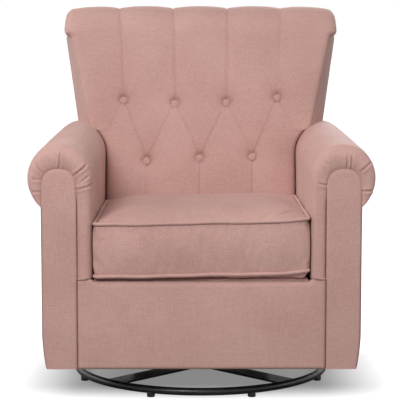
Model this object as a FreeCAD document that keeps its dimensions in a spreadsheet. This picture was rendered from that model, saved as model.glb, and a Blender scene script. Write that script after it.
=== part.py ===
import FreeCAD, Part
import math
import os
import re
import Sketcher
from FreeCAD import Placement, Rotation, Vector

# A swivel glider nursery chair, in millimetres.
# +Z is up, the chair faces -Y, and the origin is on the floor on the swivel axis.
# "left" is the sitter's left, which is +X.

doc = FreeCAD.newDocument("GliderChair")
sheet = doc.addObject("Spreadsheet::Sheet", "Sizes")

# Driving sizes: alias, value, what it measures.
SIZES = [
    # Upholstered body, seen from the front
    ("body_bottom", 95, "floor to the bottom of the upholstery"),
    ("front_reach", 420, "swivel axis to the front of the arm panels"),
    ("rear_reach", 420, "swivel axis to the rear of the back's scroll"),
    ("arm_inner", 255, "middle of the chair to the inner face of an arm"),
    ("roll_radius", 72.5, "radius of the arm's scroll"),
    ("roll_overhang", 28, "how far the scroll stands out beyond the flat side"),
    ("roll_height", 552, "floor to the centre of the arm's scroll"),
    ("tuck_ease", 16.5, "how much gentler than the scroll its turn back to the side is"),
    ("arm_wall", 18, "foam and cover over the arm frame"),
    ("arm_bevel", 6, "bevel of the arm pad's front edge"),
    ("panel_inset", 35, "inner face of an arm to its front panel"),
    ("shoulder_drop", 14, "centre of the scroll down to the foot of the panel's arch"),
    ("arch_ease", 6, "how much larger the panel's arch is than half its width"),
    ("panel_thick", 8, "thickness of the arm front panel"),
    ("shoulder_round", 8, "rounding of the panel's shoulders"),
    ("panel_bevel", 2.5, "bevel of the arm front panel"),
    ("apron_round", 3, "rounding of the padded apron"),
    ("soft_gap", 1.5, "clearance between upholstered pieces"),
    # Seat
    ("deck_top", 306, "floor to the top of the seat deck"),
    ("deck_thick", 20, "thickness of the deck pad"),
    ("apron_thick", 14, "thickness of the padded apron"),
    ("apron_recess", 4, "apron set back behind the arm panels"),
    ("cushion_height", 118, "between the two welts of the cushion"),
    ("cushion_foot", 9, "deck to the lower welt"),
    ("crown_rise", 24, "crown of the cushion above its upper welt"),
    ("cushion_corner", 38, "rounding of the cushion's corners in plan"),
    ("cushion_gap", 1.4, "clearance from the cushion's welt to the arms"),
    ("cover_thick", 3, "cushion cover with its wrap"),
    ("welt_radius", 4.5, "radius of the welt cord"),
    ("lift_gap", 0.6, "clearance under the cushion"),
    ("beyond", 5, "how far a cutter reaches past what it cuts"),
    # Back
    ("back_foot", 228, "swivel axis to the outside back below the knee"),
    ("back_knee", 330, "height where the outside back starts to lean"),
    ("back_rake", 14, "lean of the back, degrees"),
    ("back_depth", 149, "horizontal thickness of the back"),
    ("back_bottom", 290, "bottom of the back pad"),
    ("back_top", 950, "floor to the top of the scrolled back"),
    ("back_scroll", 42, "radius of the scroll behind the back's top"),
    ("back_crest", 72, "height of the rolled crest above its crease"),
    ("low_spread", 9.5, "middle of an arm's scroll out to the back's edge, at the arms"),
    ("high_spread", 48.5, "middle of an arm's scroll out to the back's edge, at the crest"),
    ("crest_spread", 52.5, "middle of an arm's scroll out to the crest's end"),
    ("crest_round", 34, "rounding of the crest's upper corners"),
    ("seam_low_inset", 31.5, "middle of an arm's scroll in to the tufted panel's seam, at the arms"),
    ("seam_high_spread", 24.5, "middle of an arm's scroll out to the seam, at the crest"),
    ("frame_depth", 37, "horizontal room behind the back pad for its frame"),
    ("outer_thick", 6.5, "thickness of the outside back"),
    ("button_radius", 11, "radius of a covered button"),
    ("button_dome", 5, "thickness of a covered button"),
    ("button_bevel", 3, "bevel of a covered button"),
    ("button_high", 693, "height of the upper row of buttons"),
    ("button_low", 541, "height of the lower row of buttons"),
    ("button_pitch", 140, "distance between buttons in a row"),
    ("dimple_depth", 14, "depth of the tuft under a button"),
    ("dimple_radius", 34, "radius of the tuft at the surface"),
    # Wooden frame
    ("board", 20, "thickness of the seat rails"),
    ("rail_bottom", 138, "floor to the bottom of the seat rails"),
    ("rail_top", 262, "floor to the top of the seat rails"),
    ("rail_inset", 5, "inner face of an arm to the outer face of a side rail"),
    ("rail_setback", 16, "rear of the arm panels to the front of the seat rails"),
    ("stile_width", 35, "width of a back stile"),
    ("stile_depth", 30, "depth of a back stile"),
    ("stile_drop", 18, "crest's crease down to the top of the back's frame"),
    ("back_board", 80, "width of the boards between the back stiles"),
    ("board_lift", 10, "back's knee up to its lower board"),
    ("former", 15, "thickness of the arm frame's boards"),
    ("stringer", 25, "side of the arm frame's square stringers"),
    ("stringer_drop", 5.75, "top of the arm frame's scroll down to its stringer"),
    ("frame_gap", 2, "room between the arm frame and the pad around it"),
    # Seat springs
    ("wire_radius", 1.9, "radius of the spring wire"),
    ("spring_margin", 3, "how much closer than quarter points the outer springs lie"),
    ("spring_half", 24, "half width of a spring's zigzag"),
    ("spring_rise", 18, "arch of a spring between the rails"),
    # Swivel base
    ("ring_radius", 320, "radius of the base ring's centre line"),
    ("tube_radius", 9.5, "radius of the ring's tube"),
    ("glide_radius", 9, "radius of a floor glide"),
    ("glide_height", 8, "floor to the underside of the ring"),
    ("glide_lip", 0.3, "how far the glides' rim stops short of a full vee"),
    ("seat_gap", 0.15, "clearance of the tube in its glides"),
    ("bar_width", 55, "width of the base's cross bars"),
    ("bar_thick", 5, "thickness of the base's cross bars"),
    ("bar_top", 20, "floor to the top of the cross bars"),
    ("race_radius", 62, "radius of the circle of balls"),
    ("race_outer", 86, "half width of the bearing plates"),
    ("race_plate", 4, "thickness of a bearing plate"),
    ("race_space", 6, "space between the bearing plates"),
    ("ball_radius", 4, "radius of a ball"),
    ("ball_gap", 0.06, "running clearance round a ball"),
    ("cage_thick", 2, "thickness of the ball cage"),
    ("cage_width", 12, "width of the ball cage's rim"),
    ("bolt_radius", 6, "radius of the king bolt"),
    ("bolt_head", 9.6, "half width across the king bolt's head"),
    ("bolt_gap", 0.06, "running clearance round the king bolt"),
    # Glide mechanism
    ("pivot_span", 88, "swivel axis to a pivot, front or rear"),
    ("pivot_height", 228, "floor to the upper pivots"),
    ("link_length", 122, "upper pivot to lower pivot"),
    ("glide_swing", 28, "swing of the links each way, degrees"),
    ("plate_inset", 78, "outer face of a side rail to a side plate"),
    ("plate_thick", 3, "thickness of the side plates"),
    ("ear_half", 15, "half width of a side plate's ear"),
    ("waist_drop", 50, "upper pivots down to the dip between the ears"),
    ("lightening", 22, "half width of a side plate's lightening hole"),
    ("link_inset", 56, "outer face of a side rail to the middle of a link"),
    ("link_thick", 4, "thickness of a link's web"),
    ("link_boss", 8, "length of a link's bushes"),
    ("link_half", 12, "half width of a link's web"),
    ("boss_radius", 13.5, "half width across a link's bushes"),
    ("stud_radius", 5, "radius of a pivot stud"),
    ("stud_gap", 0.06, "running clearance round a pivot stud"),
    ("stud_head", 8, "half width across a stud's nut and shoulder"),
    ("head_thick", 4, "thickness of a stud's nut"),
    ("side_gap", 0.3, "clearance each side of a link"),
    ("angle_inset", 39, "outer face of a side rail to a seat angle"),
    ("angle_thick", 3, "thickness of the seat angles"),
    ("angle_lip", 3, "a lower stud's shoulder down to the foot of its seat angle"),
    ("angle_half", 185, "half length of a seat angle"),
    ("channel_height", 25, "height of a cross channel"),
    ("channel_width", 40, "width of a cross channel"),
    ("channel_wall", 2.5, "wall of a cross channel"),
    ("channel_place", 52, "swivel axis to the middle of a cross channel"),
    ("stop_radius", 8, "half width across a rubber stop"),
    ("stop_reach", 72, "upper pivot to where a stop meets its link"),
]

for row, (alias, number, meaning) in enumerate(SIZES, start=1):
    sheet.set("A%d" % row, meaning)
    sheet.set("B%d" % row, str(number))
    sheet.setAlias("B%d" % row, alias)
doc.recompute()

ALIASES = {alias for alias, number, meaning in SIZES}

# Sizes that follow from the driving ones.
FOLLOWING = {
    "roll_middle": "(arm_inner+roll_radius)",
    "body_side": "(arm_inner+2*roll_radius-roll_overhang)",
    "tuck_radius": "(roll_radius+tuck_ease)",
    "panel_inner": "(arm_inner+panel_inset)",
    "panel_shoulder": "(roll_height-shoulder_drop)",
    "panel_arch": "((body_side-panel_inner)/2+arch_ease)",
    "back_low_half": "(roll_middle+low_spread)",
    "back_high_half": "(roll_middle+high_spread)",
    "crest_half": "(roll_middle+crest_spread)",
    "seam_low_half": "(roll_middle-seam_low_inset)",
    "seam_high_half": "(roll_middle+seam_high_spread)",
    "rail_outer": "(arm_inner-rail_inset)",
    "rail_front": "(front_reach-panel_thick-rail_setback)",
    "spring_pitch": "((rail_outer-board)/2-spring_margin)",
    "plate_inner": "(rail_outer-plate_inset)",
    "link_middle": "(rail_outer-link_inset)",
    "angle_inner": "(rail_outer-angle_inset)",
}


# ---------------------------------------------------------------- size formulas

def spelled(match):
    """A word of a size formula as FreeCAD reads it."""
    word = match[0]
    if word in FOLLOWING:
        return formula(FOLLOWING[word])
    return "Sizes." + word if word in ALIASES else word


def formula(text):
    """Write a size formula out, with the sheet's name in front of each alias."""
    return re.sub(r"[a-z_]+", spelled, str(text))


def value(text):
    """Work a size formula out, in millimetres."""
    result = sheet.evalExpression(formula(text))
    return float(getattr(result, "Value", result))


LEAN = "tan(back_rake*1deg)"


def outside_back(height):
    """Formula of the outside back's place along Y, at a height above the knee."""
    return "(back_foot+((%s)-back_knee)*%s)" % (height, LEAN)


def inside_back(height):
    """Formula of the back pad's front face along Y, at a height."""
    return "(%s-back_depth)" % outside_back(height)


# ---------------------------------------------------------------- drawing helpers

def arc_between(start, end, radius, hollow):
    """Arc of under half a turn: bulging out of an outline drawn anticlockwise, or hollow."""
    if hollow:
        start, end = end, start
    chord = end - start
    middle = (start + end) * 0.5
    depth = math.sqrt(max(radius ** 2 - (chord.Length / 2) ** 2, 0.0))
    centre = middle + Vector(-chord.y, chord.x, 0).normalize() * depth
    first = math.atan2(start.y - centre.y, start.x - centre.x)
    last = math.atan2(end.y - centre.y, end.x - centre.x)
    return Part.ArcOfCircle(Part.Circle(centre, Vector(0, 0, 1), radius), first, last)


def bind(sketch, kind, item, end, text):
    """Constrain one point or radius of a sketch to a size formula."""
    place = (item, end) if end else (item,)
    number = sketch.addConstraint(Sketcher.Constraint(kind, *place, value(text)))
    sketch.setExpression("Constraints[%d]" % number, formula(text))


def draw_outline(sketch, corners):
    """Draw a closed outline, anticlockwise. A corner is its two coordinates, and where
    an arc leads on from it, the arc's radius, with "hollow" if it curves inwards."""
    first = sketch.GeometryCount
    points = [Vector(value(c[0]), value(c[1]), 0) for c in corners]
    ends = []
    for i, corner in enumerate(corners):
        start, end = points[i], points[(i + 1) % len(points)]
        hollow = "hollow" in corner
        if len(corner) > 2:
            sketch.addGeometry(arc_between(start, end, value(corner[2]), hollow), False)
        else:
            sketch.addGeometry(Part.LineSegment(start, end), False)
        ends.append((2, 1) if hollow else (1, 2))
    for i, corner in enumerate(corners):
        following = (i + 1) % len(corners)
        sketch.addConstraint(Sketcher.Constraint(
            "Coincident", first + i, ends[i][1], first + following, ends[following][0]))
        bind(sketch, "DistanceX", first + i, ends[i][0], corner[0])
        bind(sketch, "DistanceY", first + i, ends[i][0], corner[1])
        if len(corner) > 2:
            bind(sketch, "Radius", first + i, None, corner[2])


def draw_circle(sketch, across, up, radius):
    """Draw a circle."""
    item = sketch.GeometryCount
    centre = Vector(value(across), value(up), 0)
    sketch.addGeometry(Part.Circle(centre, Vector(0, 0, 1), value(radius)), False)
    bind(sketch, "DistanceX", item, 3, across)
    bind(sketch, "DistanceY", item, 3, up)
    bind(sketch, "Radius", item, None, radius)


def new_sketch(body, plane, start="0"):
    """Sketch on one of the body's origin planes, moved along the plane's own axis.
    XZ sketches are drawn as (x, z), YZ as (y, z) and XY as (x, y)."""
    sketch = body.newObject("Sketcher::SketchObject", body.Name + "Sketch")
    origin_plane = [f for f in body.Origin.OriginFeatures if f.Role == plane + "_Plane"][0]
    sketch.AttachmentSupport = [(origin_plane, "")]
    sketch.MapMode = "FlatFace"
    # The XZ plane's own axis points to -Y.
    text = "-(%s)" % start if plane == "XZ" else start
    sketch.setExpression("AttachmentOffset.Base.z", formula(text))
    return sketch


def new_body(name):
    """Empty body whose name is its label."""
    body = doc.addObject("PartDesign::Body", name)
    body.Label = name
    return body


def add_pad(body, plane, start, length, *outlines):
    """Pad closed outlines from start, by length, along the positive axis."""
    sketch = new_sketch(body, plane, start)
    for corners in outlines:
        if corners[0] == "circle":
            draw_circle(sketch, *corners[1:])
        else:
            draw_outline(sketch, corners)
    pad = body.newObject("PartDesign::Pad", body.Name + "Pad")
    pad.Profile = sketch
    pad.setExpression("Length", formula(length))
    pad.Reversed = plane == "XZ"
    sketch.Visibility = False
    body.Tip = pad
    return pad


def add_pocket(body, plane, start, length, *outlines):
    """Cut closed outlines away from start, by length, along the positive axis."""
    sketch = new_sketch(body, plane, start)
    for corners in outlines:
        if corners[0] == "circle":
            draw_circle(sketch, *corners[1:])
        else:
            draw_outline(sketch, corners)
    doc.recompute()
    before = body.Shape.Volume
    pocket = body.newObject("PartDesign::Pocket", body.Name + "Pocket")
    pocket.Profile = sketch
    pocket.setExpression("Length", formula(length))
    pocket.Reversed = plane != "XZ"
    body.Tip = pocket
    doc.recompute()
    if body.Shape.Volume >= before:
        raise RuntimeError(body.Name + ": a pocket cut nothing")
    return pocket


def add_fillet(body, radius, chosen):
    """Round the edges of the body's tip that pass a test."""
    doc.recompute()
    tip = body.Tip
    names = ["Edge%d" % i for i, edge in enumerate(tip.Shape.Edges, start=1) if chosen(edge)]
    fillet = body.newObject("PartDesign::Fillet", body.Name + "Fillet")
    fillet.Base = (tip, names)
    fillet.setExpression("Radius", formula(radius))
    body.Tip = fillet
    return fillet


def add_chamfer(body, size, chosen):
    """Bevel the edges of the body's tip that pass a test."""
    doc.recompute()
    tip = body.Tip
    names = ["Edge%d" % i for i, edge in enumerate(tip.Shape.Edges, start=1) if chosen(edge)]
    chamfer = body.newObject("PartDesign::Chamfer", body.Name + "Chamfer")
    chamfer.Base = (tip, names)
    chamfer.setExpression("Size", formula(size))
    body.Tip = chamfer
    return chamfer


def slab(name, plane, start, length, *outlines):
    """Body of one pad."""
    body = new_body(name)
    add_pad(body, plane, start, length, *outlines)
    return body


def turned(name, corners):
    """Body turned about the Z axis from an outline drawn as (radius, height)."""
    body = new_body(name)
    sketch = new_sketch(body, "XZ")
    draw_outline(sketch, corners)
    revolution = body.newObject("PartDesign::Revolution", name + "Turning")
    revolution.Profile = sketch
    revolution.ReferenceAxis = (sketch, ["V_Axis"])
    revolution.Angle = 360
    body.Tip = revolution
    return body


def rectangle(left, bottom, right, top):
    """Corners of a rectangle."""
    return [(left, bottom), (right, bottom), (right, top), (left, top)]


def combine(kind, name, base, tool):
    """Part::Cut or Part::Common of two objects."""
    result = doc.addObject("Part::" + kind, name)
    result.Base = base
    result.Tool = tool
    result.Label = name
    return result


def fuse(name, *pieces):
    """Join pieces into one."""
    result = doc.addObject("Part::MultiFuse", name)
    result.Shapes = list(pieces)
    result.Label = name
    return result


def mirror(name, source):
    """The same piece for the chair's other side."""
    result = doc.addObject("Part::Mirroring", name)
    result.Source = source
    result.Normal = Vector(1, 0, 0)
    result.Label = name
    return result


def moved(obj, across="0", along="0", up="0", axis=None, angle="0"):
    """Tie an object's Placement to size formulas."""
    if axis:
        obj.Placement = Placement(Vector(), Rotation(axis, 1))
        obj.setExpression("Placement.Rotation.Angle", formula(angle))
    for name, text in (("x", across), ("y", along), ("z", up)):
        obj.setExpression("Placement.Base." + name, formula(text))
    return obj


def cylinder(name, radius, height):
    """Plain cylinder standing on its origin."""
    result = doc.addObject("Part::Cylinder", name)
    result.setExpression("Radius", formula(radius))
    result.setExpression("Height", formula(height))
    return result


nodes = []


def keep(*pieces):
    """List finished sub-parts for writing."""
    nodes.extend(pieces)


# ---------------------------------------------------------------- swivel base

RING_HEIGHT = "(glide_height+tube_radius)"
GLIDES = 8
BALLS = 8


def polygon(across, up, half, sides):
    """Corners of a regular polygon with a flat at the bottom, given half its width across the flats."""
    step = 360 / sides
    reach = 1 / math.cos(math.radians(step / 2))
    corners = []
    for number in range(sides):
        turn = math.radians(step * (number + 0.5) - 90)
        corners.append(("%s+%s*%.9f" % (across, half, reach * math.cos(turn)),
                        "%s+%s*%.9f" % (up, half, reach * math.sin(turn))))
    return corners


def base_ring(name):
    """Steel tube bent into a circle; its round section is drawn with eight flats."""
    return turned(name, polygon("ring_radius", RING_HEIGHT, "tube_radius", 8))


def base_cross():
    """Two flat bars crossing at the centre, cut to sit against the inside of the ring."""
    bars = []
    for name, angle in (("CrossBarA", "45"), ("CrossBarB", "-45")):
        box = doc.addObject("Part::Box", name)
        box.setExpression("Length", formula("2*ring_radius"))
        box.setExpression("Width", formula("bar_width"))
        box.setExpression("Height", formula("bar_thick"))
        box.Placement = Placement(Vector(), Rotation(Vector(0, 0, 1), float(angle)))
        radians = math.radians(float(angle))
        cos, sin = math.cos(radians), math.sin(radians)
        moved(box,
              across="-ring_radius*%.9f+bar_width/2*%.9f" % (cos, sin),
              along="-ring_radius*%.9f-bar_width/2*%.9f" % (sin, cos),
              up="bar_top-bar_thick")
        bars.append(box)
    crossed = fuse("CrossBars", *bars)
    bored = combine("Cut", "CrossBored", crossed, cylinder("CrossBore", "bolt_radius", "bar_top"))
    return combine("Cut", "base_cross", bored, base_ring("RingSeat"))


def floor_glide(number):
    """Plastic foot with a vee seat that holds the ring's tube."""
    vee = "%s-(tube_radius+seat_gap)*sqrt(2)" % RING_HEIGHT
    body = slab("FloorGlide%d" % number, "XY", "0", vee + "+glide_radius-glide_lip",
                polygon("0", "0", "glide_radius", 8))
    rim = vee + "+2*glide_radius"
    add_pocket(body, "YZ", "-glide_radius", "2*glide_radius", [
        ("0", vee), ("2*glide_radius", rim), ("-2*glide_radius", rim)])
    angle = 360 / GLIDES * (number + 0.5)
    reach = math.radians(angle)
    body.Placement = Placement(Vector(), Rotation(Vector(0, 0, 1), angle + 90))
    return moved(body, "ring_radius*%.9f" % math.cos(reach), "ring_radius*%.9f" % math.sin(reach))


BALL_HEIGHT = "(bar_top+race_plate+race_space/2)"
GROOVE = "((ball_radius+ball_gap)*sqrt(2)-race_space/2)"


def bearing_plate(name, bottom, bore, groove_on_top):
    """Square steel plate with a right-angled vee groove for the balls in one face."""
    body = slab(name + "Blank", "XY", bottom, "race_plate", rectangle(
        "-race_outer", "-race_outer", "race_outer", "race_outer"))
    add_pocket(body, "XY", bottom + "-beyond", "race_plate+2*beyond", ("circle", "0", "0", bore))
    face, floor = ("(%s+race_plate)" % bottom, "-") if groove_on_top else ("(%s)" % bottom, "+")
    groove = turned(name + "Groove", [
        ("race_radius-" + GROOVE, face), ("race_radius", face + floor + GROOVE),
        ("race_radius+" + GROOVE, face)])
    return combine("Cut", name, body, groove)


def ball_cage():
    """Eight-sided cage with a captive ball, drawn with flats, at each corner."""
    pieces = [slab("CageRing", "XY", BALL_HEIGHT + "-cage_thick/2", "cage_thick",
                   polygon("0", "0", "(race_radius+cage_width/2)", BALLS),
                   polygon("0", "0", "(race_radius-cage_width/2)", BALLS))]
    for number in range(BALLS):
        ball = slab("Ball%d" % number, "XY", "-ball_radius", "2*ball_radius",
                    polygon("0", "0", "ball_radius", 8))
        add_chamfer(ball, "ball_radius*(2-sqrt(2))", lambda e: e.BoundBox.ZLength < 0.01)
        angle = math.radians(360 / BALLS * (number + 0.5))
        pieces.append(moved(ball, "race_radius*%.9f" % math.cos(angle), "race_radius*%.9f" % math.sin(angle),
                            BALL_HEIGHT, Vector(0, 0, 1), "%.9f" % (180 / BALLS)))
    return fuse("ball_cage", *pieces)


FRAME_BOTTOM = "(bar_top+2*race_plate+race_space)"


def king_bolt():
    """Bolt that holds the two bearing plates together: head below, nut above."""
    foot, crown = "(bar_top-bar_thick)", "(%s+side_gap)" % FRAME_BOTTOM
    body = slab("king_bolt", "XY", foot, "%s-%s" % (crown, foot), ("circle", "0", "0", "bolt_radius"))
    add_pad(body, "XY", foot + "-head_thick", "head_thick", polygon("0", "0", "bolt_head", 6))
    add_pad(body, "XY", crown, "2*head_thick", polygon("0", "0", "bolt_head", 6))
    return body


# ---------------------------------------------------------------- swivel frame

def cross_channel(name, side):
    """Inverted channel welded on the upper bearing plate, from side plate to side plate."""
    middle = "(%d*channel_place)" % side
    left, right = middle + "-channel_width/2", middle + "+channel_width/2"
    top = FRAME_BOTTOM + "+channel_height"
    return slab(name, "YZ", "-plate_inner", "2*plate_inner", [
        (left, FRAME_BOTTOM), (left + "+channel_wall", FRAME_BOTTOM),
        (left + "+channel_wall", top + "-channel_wall"), (right + "-channel_wall", top + "-channel_wall"),
        (right + "-channel_wall", FRAME_BOTTOM), (right, FRAME_BOTTOM), (right, top), (left, top)])


def swivel_side_plate():
    """Stamped plate: an ear round each upper pivot, a dip between them and a
    lightening hole with cut corners; it stands on the channels' ends."""
    waist = "(pivot_height-waist_drop)"
    left_ear, right_ear = ([("%s+%s" % (end, across), "pivot_height+" + up) for across, up in (
        ("ear_half", "0"), ("ear_half", "ear_half*2/5"), ("ear_half*2/5", "ear_half"),
        ("-ear_half*2/5", "ear_half"), ("-ear_half", "ear_half*2/5"), ("-ear_half", "0"))]
        for end in ("(-pivot_span)", "pivot_span"))
    body = slab("swivel_side_plate_left", "YZ", "plate_inner", "plate_thick", [
        ("ear_half-pivot_span", FRAME_BOTTOM), ("pivot_span-ear_half", FRAME_BOTTOM)]
        + right_ear + [("pivot_span/4", waist), ("-pivot_span/4", waist)] + left_ear)
    add_pocket(body, "YZ", "plate_inner-beyond", "plate_thick+2*beyond",
               polygon("0", "(%s+%s)/2" % (FRAME_BOTTOM, waist), "lightening", 8))
    return body


LINK_INNER = "(link_middle-link_boss/2)"
LINK_OUTER = "(link_middle+link_boss/2)"
LOWER_PIVOT = "(pivot_height-link_length)"


def upper_stud(name, end):
    """Shoulder stud welded on the left side plate, with a nut outside its link."""
    place = ("%d*pivot_span" % end, "pivot_height")
    shoulder, tip = "(%s-side_gap)" % LINK_INNER, "(%s+side_gap)" % LINK_OUTER
    body = slab(name, "YZ", shoulder, "%s-%s" % (tip, shoulder), ("circle", *place, "stud_radius"))
    add_pad(body, "YZ", "plate_inner+plate_thick", shoulder + "-plate_inner-plate_thick",
            polygon(*place, "stud_head", 6))
    add_pad(body, "YZ", tip, "head_thick", polygon(*place, "stud_head", 6))
    return body


def lower_stud(name, end):
    """Shoulder stud welded on the left seat angle, with a nut inside its link."""
    place = ("%d*pivot_span" % end, LOWER_PIVOT)
    shoulder, tip = "(%s+side_gap)" % LINK_OUTER, "(%s-side_gap)" % LINK_INNER
    body = slab(name, "YZ", tip, "%s-%s" % (shoulder, tip), ("circle", *place, "stud_radius"))
    add_pad(body, "YZ", shoulder, "angle_inner-" + shoulder, polygon(*place, "stud_head", 6))
    add_pad(body, "YZ", tip + "-head_thick", "head_thick", polygon(*place, "stud_head", 6))
    return body


def swing_link(name, end):
    """Flat steel link with a six-sided bored bush welded in each end."""
    along = "(%d*pivot_span)" % end
    body = slab(name, "YZ", "link_middle-link_thick/2", "link_thick", rectangle(
        along + "-link_half", LOWER_PIVOT, along + "+link_half", "pivot_height"))
    add_pad(body, "YZ", LINK_INNER, "link_boss", polygon(along, LOWER_PIVOT, "boss_radius", 6),
            polygon(along, "pivot_height", "boss_radius", 6))
    bore = "stud_radius+stud_gap"
    add_pocket(body, "YZ", LINK_INNER + "-beyond", "link_boss+2*beyond", ("circle", along, LOWER_PIVOT, bore),
               ("circle", along, "pivot_height", bore))
    return body


def rubber_stop(name, end):
    """Rubber buffer on the left side plate that a link meets at the end of its swing."""
    swing = "glide_swing*1deg"
    offset = "(link_half+stop_radius+side_gap)"
    along = "%d*(pivot_span-stop_reach*sin(%s)-%s*cos(%s))" % (end, swing, offset, swing)
    up = "pivot_height-stop_reach*cos(%s)+%s*sin(%s)" % (swing, offset, swing)
    body = slab(name, "YZ", "0", LINK_OUTER + "-plate_inner-plate_thick", polygon("0", "0", "stop_radius", 8))
    return moved(body, "plate_inner+plate_thick", along, up, Vector(1, 0, 0), "%d*glide_swing" % -end)


# ---------------------------------------------------------------- seat frame

RAIL_REAR = "(back_foot-frame_depth)"
SPRING_BENDS = 10


def seat_angle():
    """Steel angle screwed under a side rail; its hanging leg holds the lower studs."""
    foot = LOWER_PIVOT + "-stud_head-angle_lip"
    return slab("seat_angle_left", "XZ", "-angle_half", "2*angle_half", [
        ("angle_inner", foot), ("angle_inner+angle_thick", foot),
        ("angle_inner+angle_thick", "rail_bottom-angle_thick"),
        ("rail_outer", "rail_bottom-angle_thick"), ("rail_outer", "rail_bottom"),
        ("angle_inner", "rail_bottom")])


def side_rail():
    """Wooden side rail of the seat."""
    return slab("side_rail_left", "YZ", "rail_outer-board", "board",
                rectangle("-rail_front", "rail_bottom", RAIL_REAR, "rail_top"))


def cross_rail(name, front):
    """Wooden rail between the side rails."""
    return slab(name, "YZ", "board-rail_outer", "2*(rail_outer-board)",
                rectangle(front, "rail_bottom", front + "+board", "rail_top"))


def back_stile():
    """Wooden post bolted behind a side rail and leaning with the back."""
    rear = "(%s+stile_depth)" % RAIL_REAR
    top = "(back_top-back_crest-stile_drop)"
    lean_front = "(%s-frame_depth)" % outside_back(top)
    return slab("back_stile_left", "YZ", "rail_outer-stile_width", "stile_width", [
        (RAIL_REAR, "rail_bottom"), (rear, "rail_bottom"), (rear, "back_knee"),
        (lean_front + "+stile_depth", top), (lean_front, top), (RAIL_REAR, "back_knee")])


def back_rail(name, low, high):
    """Board between the back stiles, leaning with them."""
    front_low = "(%s-frame_depth)" % outside_back(low)
    front_high = "(%s-frame_depth)" % outside_back(high)
    return slab(name, "YZ", "stile_width-rail_outer", "2*(rail_outer-stile_width)", [
        (front_low, low), (front_low + "+board", low),
        (front_high + "+board", high), (front_high, high)])


def arm_frame():
    """Two upright boards cut to the arm's scroll, joined by three stringers."""
    gap = "(arm_wall+frame_gap)"
    inner = "(arm_inner+%s)" % gap
    radius = "(roll_radius-%s)" % gap
    middle = "roll_middle"
    boards = []
    for name, start in (("Front", "arm_wall+frame_gap+panel_thick-front_reach"),
                        ("Rear", RAIL_REAR + "-former")):
        boards.append(slab("ArmBoard" + name, "XZ", start, "former", [
            ("rail_outer", "body_bottom+frame_gap"), ("body_side-" + gap, "body_bottom+frame_gap"),
            ("body_side-" + gap, "roll_height-roll_radius*3/5"),
            (middle + "+" + radius, "roll_height", radius), (middle, "roll_height+" + radius, radius),
            (inner, "roll_height"), (inner, "deck_top-arm_wall-frame_gap"),
            ("rail_outer", "deck_top-arm_wall-frame_gap")]))
    start = "former+arm_wall+frame_gap+panel_thick-front_reach"
    length = "%s-2*former-arm_wall-frame_gap-panel_thick+front_reach" % RAIL_REAR
    for number, (left, low) in enumerate((
            (middle + "-stringer/2", "roll_height+%s-stringer_drop-stringer" % radius),
            ("body_side-%s-stringer" % gap, "body_bottom+frame_gap+6"),
            ("rail_outer", "rail_top-stringer"))):
        boards.append(slab("ArmStringer%d" % number, "XZ", start, length,
                           rectangle(left, low, left + "+stringer", low + "+stringer")))
    return fuse("arm_frame_left", *boards)


def seat_spring(across):
    """Sinuous spring: one hexagonal wire bent to and fro, arched between the rails."""
    front = value("board/2-rail_front")
    rear = value(RAIL_REAR + "-board/2")
    low = value("rail_top+wire_radius")
    step = (rear - front) / SPRING_BENDS
    half = value("spring_half")

    def point(offset, along):
        share = (along - front) / (rear - front)
        return Vector(across + offset, along, low + value("spring_rise") * 4 * share * (1 - share))

    points = [point(0, front)]
    side = 1
    for bend in range(SPRING_BENDS):
        along = front + step * bend
        points += [point(side * half, along + 0.2 * step), point(side * half, along + 0.8 * step)]
        side = -side
    points.append(point(0, rear))
    section = Part.makePolygon([
        points[0] + Vector(0, math.cos(turn), math.sin(turn)) * value("wire_radius")
        for turn in (math.radians(60 * number) for number in range(7))])
    # 1 mitres the wire at each bend.
    return Part.makePolygon(points).makePipeShell([section], True, False, 1)


def seat_springs():
    """Four sinuous springs side by side."""
    shapes = [seat_spring(value("spring_pitch") * step) for step in (-1.5, -0.5, 0.5, 1.5)]
    piece = doc.addObject("Part::Feature", "seat_springs")
    piece.Shape = Part.makeCompound(shapes)
    piece.Placement = Placement()
    piece.Label = "seat_springs"
    return piece


# ---------------------------------------------------------------- upholstery

PAD_FRONT = "(panel_thick-front_reach)"


def scroll(side, inner, radius, tuck):
    """Corners of the arm's outline from its flat side over the scroll to its inner face."""
    middle = "roll_middle"
    tuck_foot = "roll_height-sqrt(pow(%s;2)-pow(%s-(%s+%s-%s);2))" % (tuck, side, middle, radius, tuck)
    return [(side, tuck_foot, tuck), (middle + "+" + radius, "roll_height", radius),
            (middle, "roll_height+" + radius, radius), (inner, "roll_height")]


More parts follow.
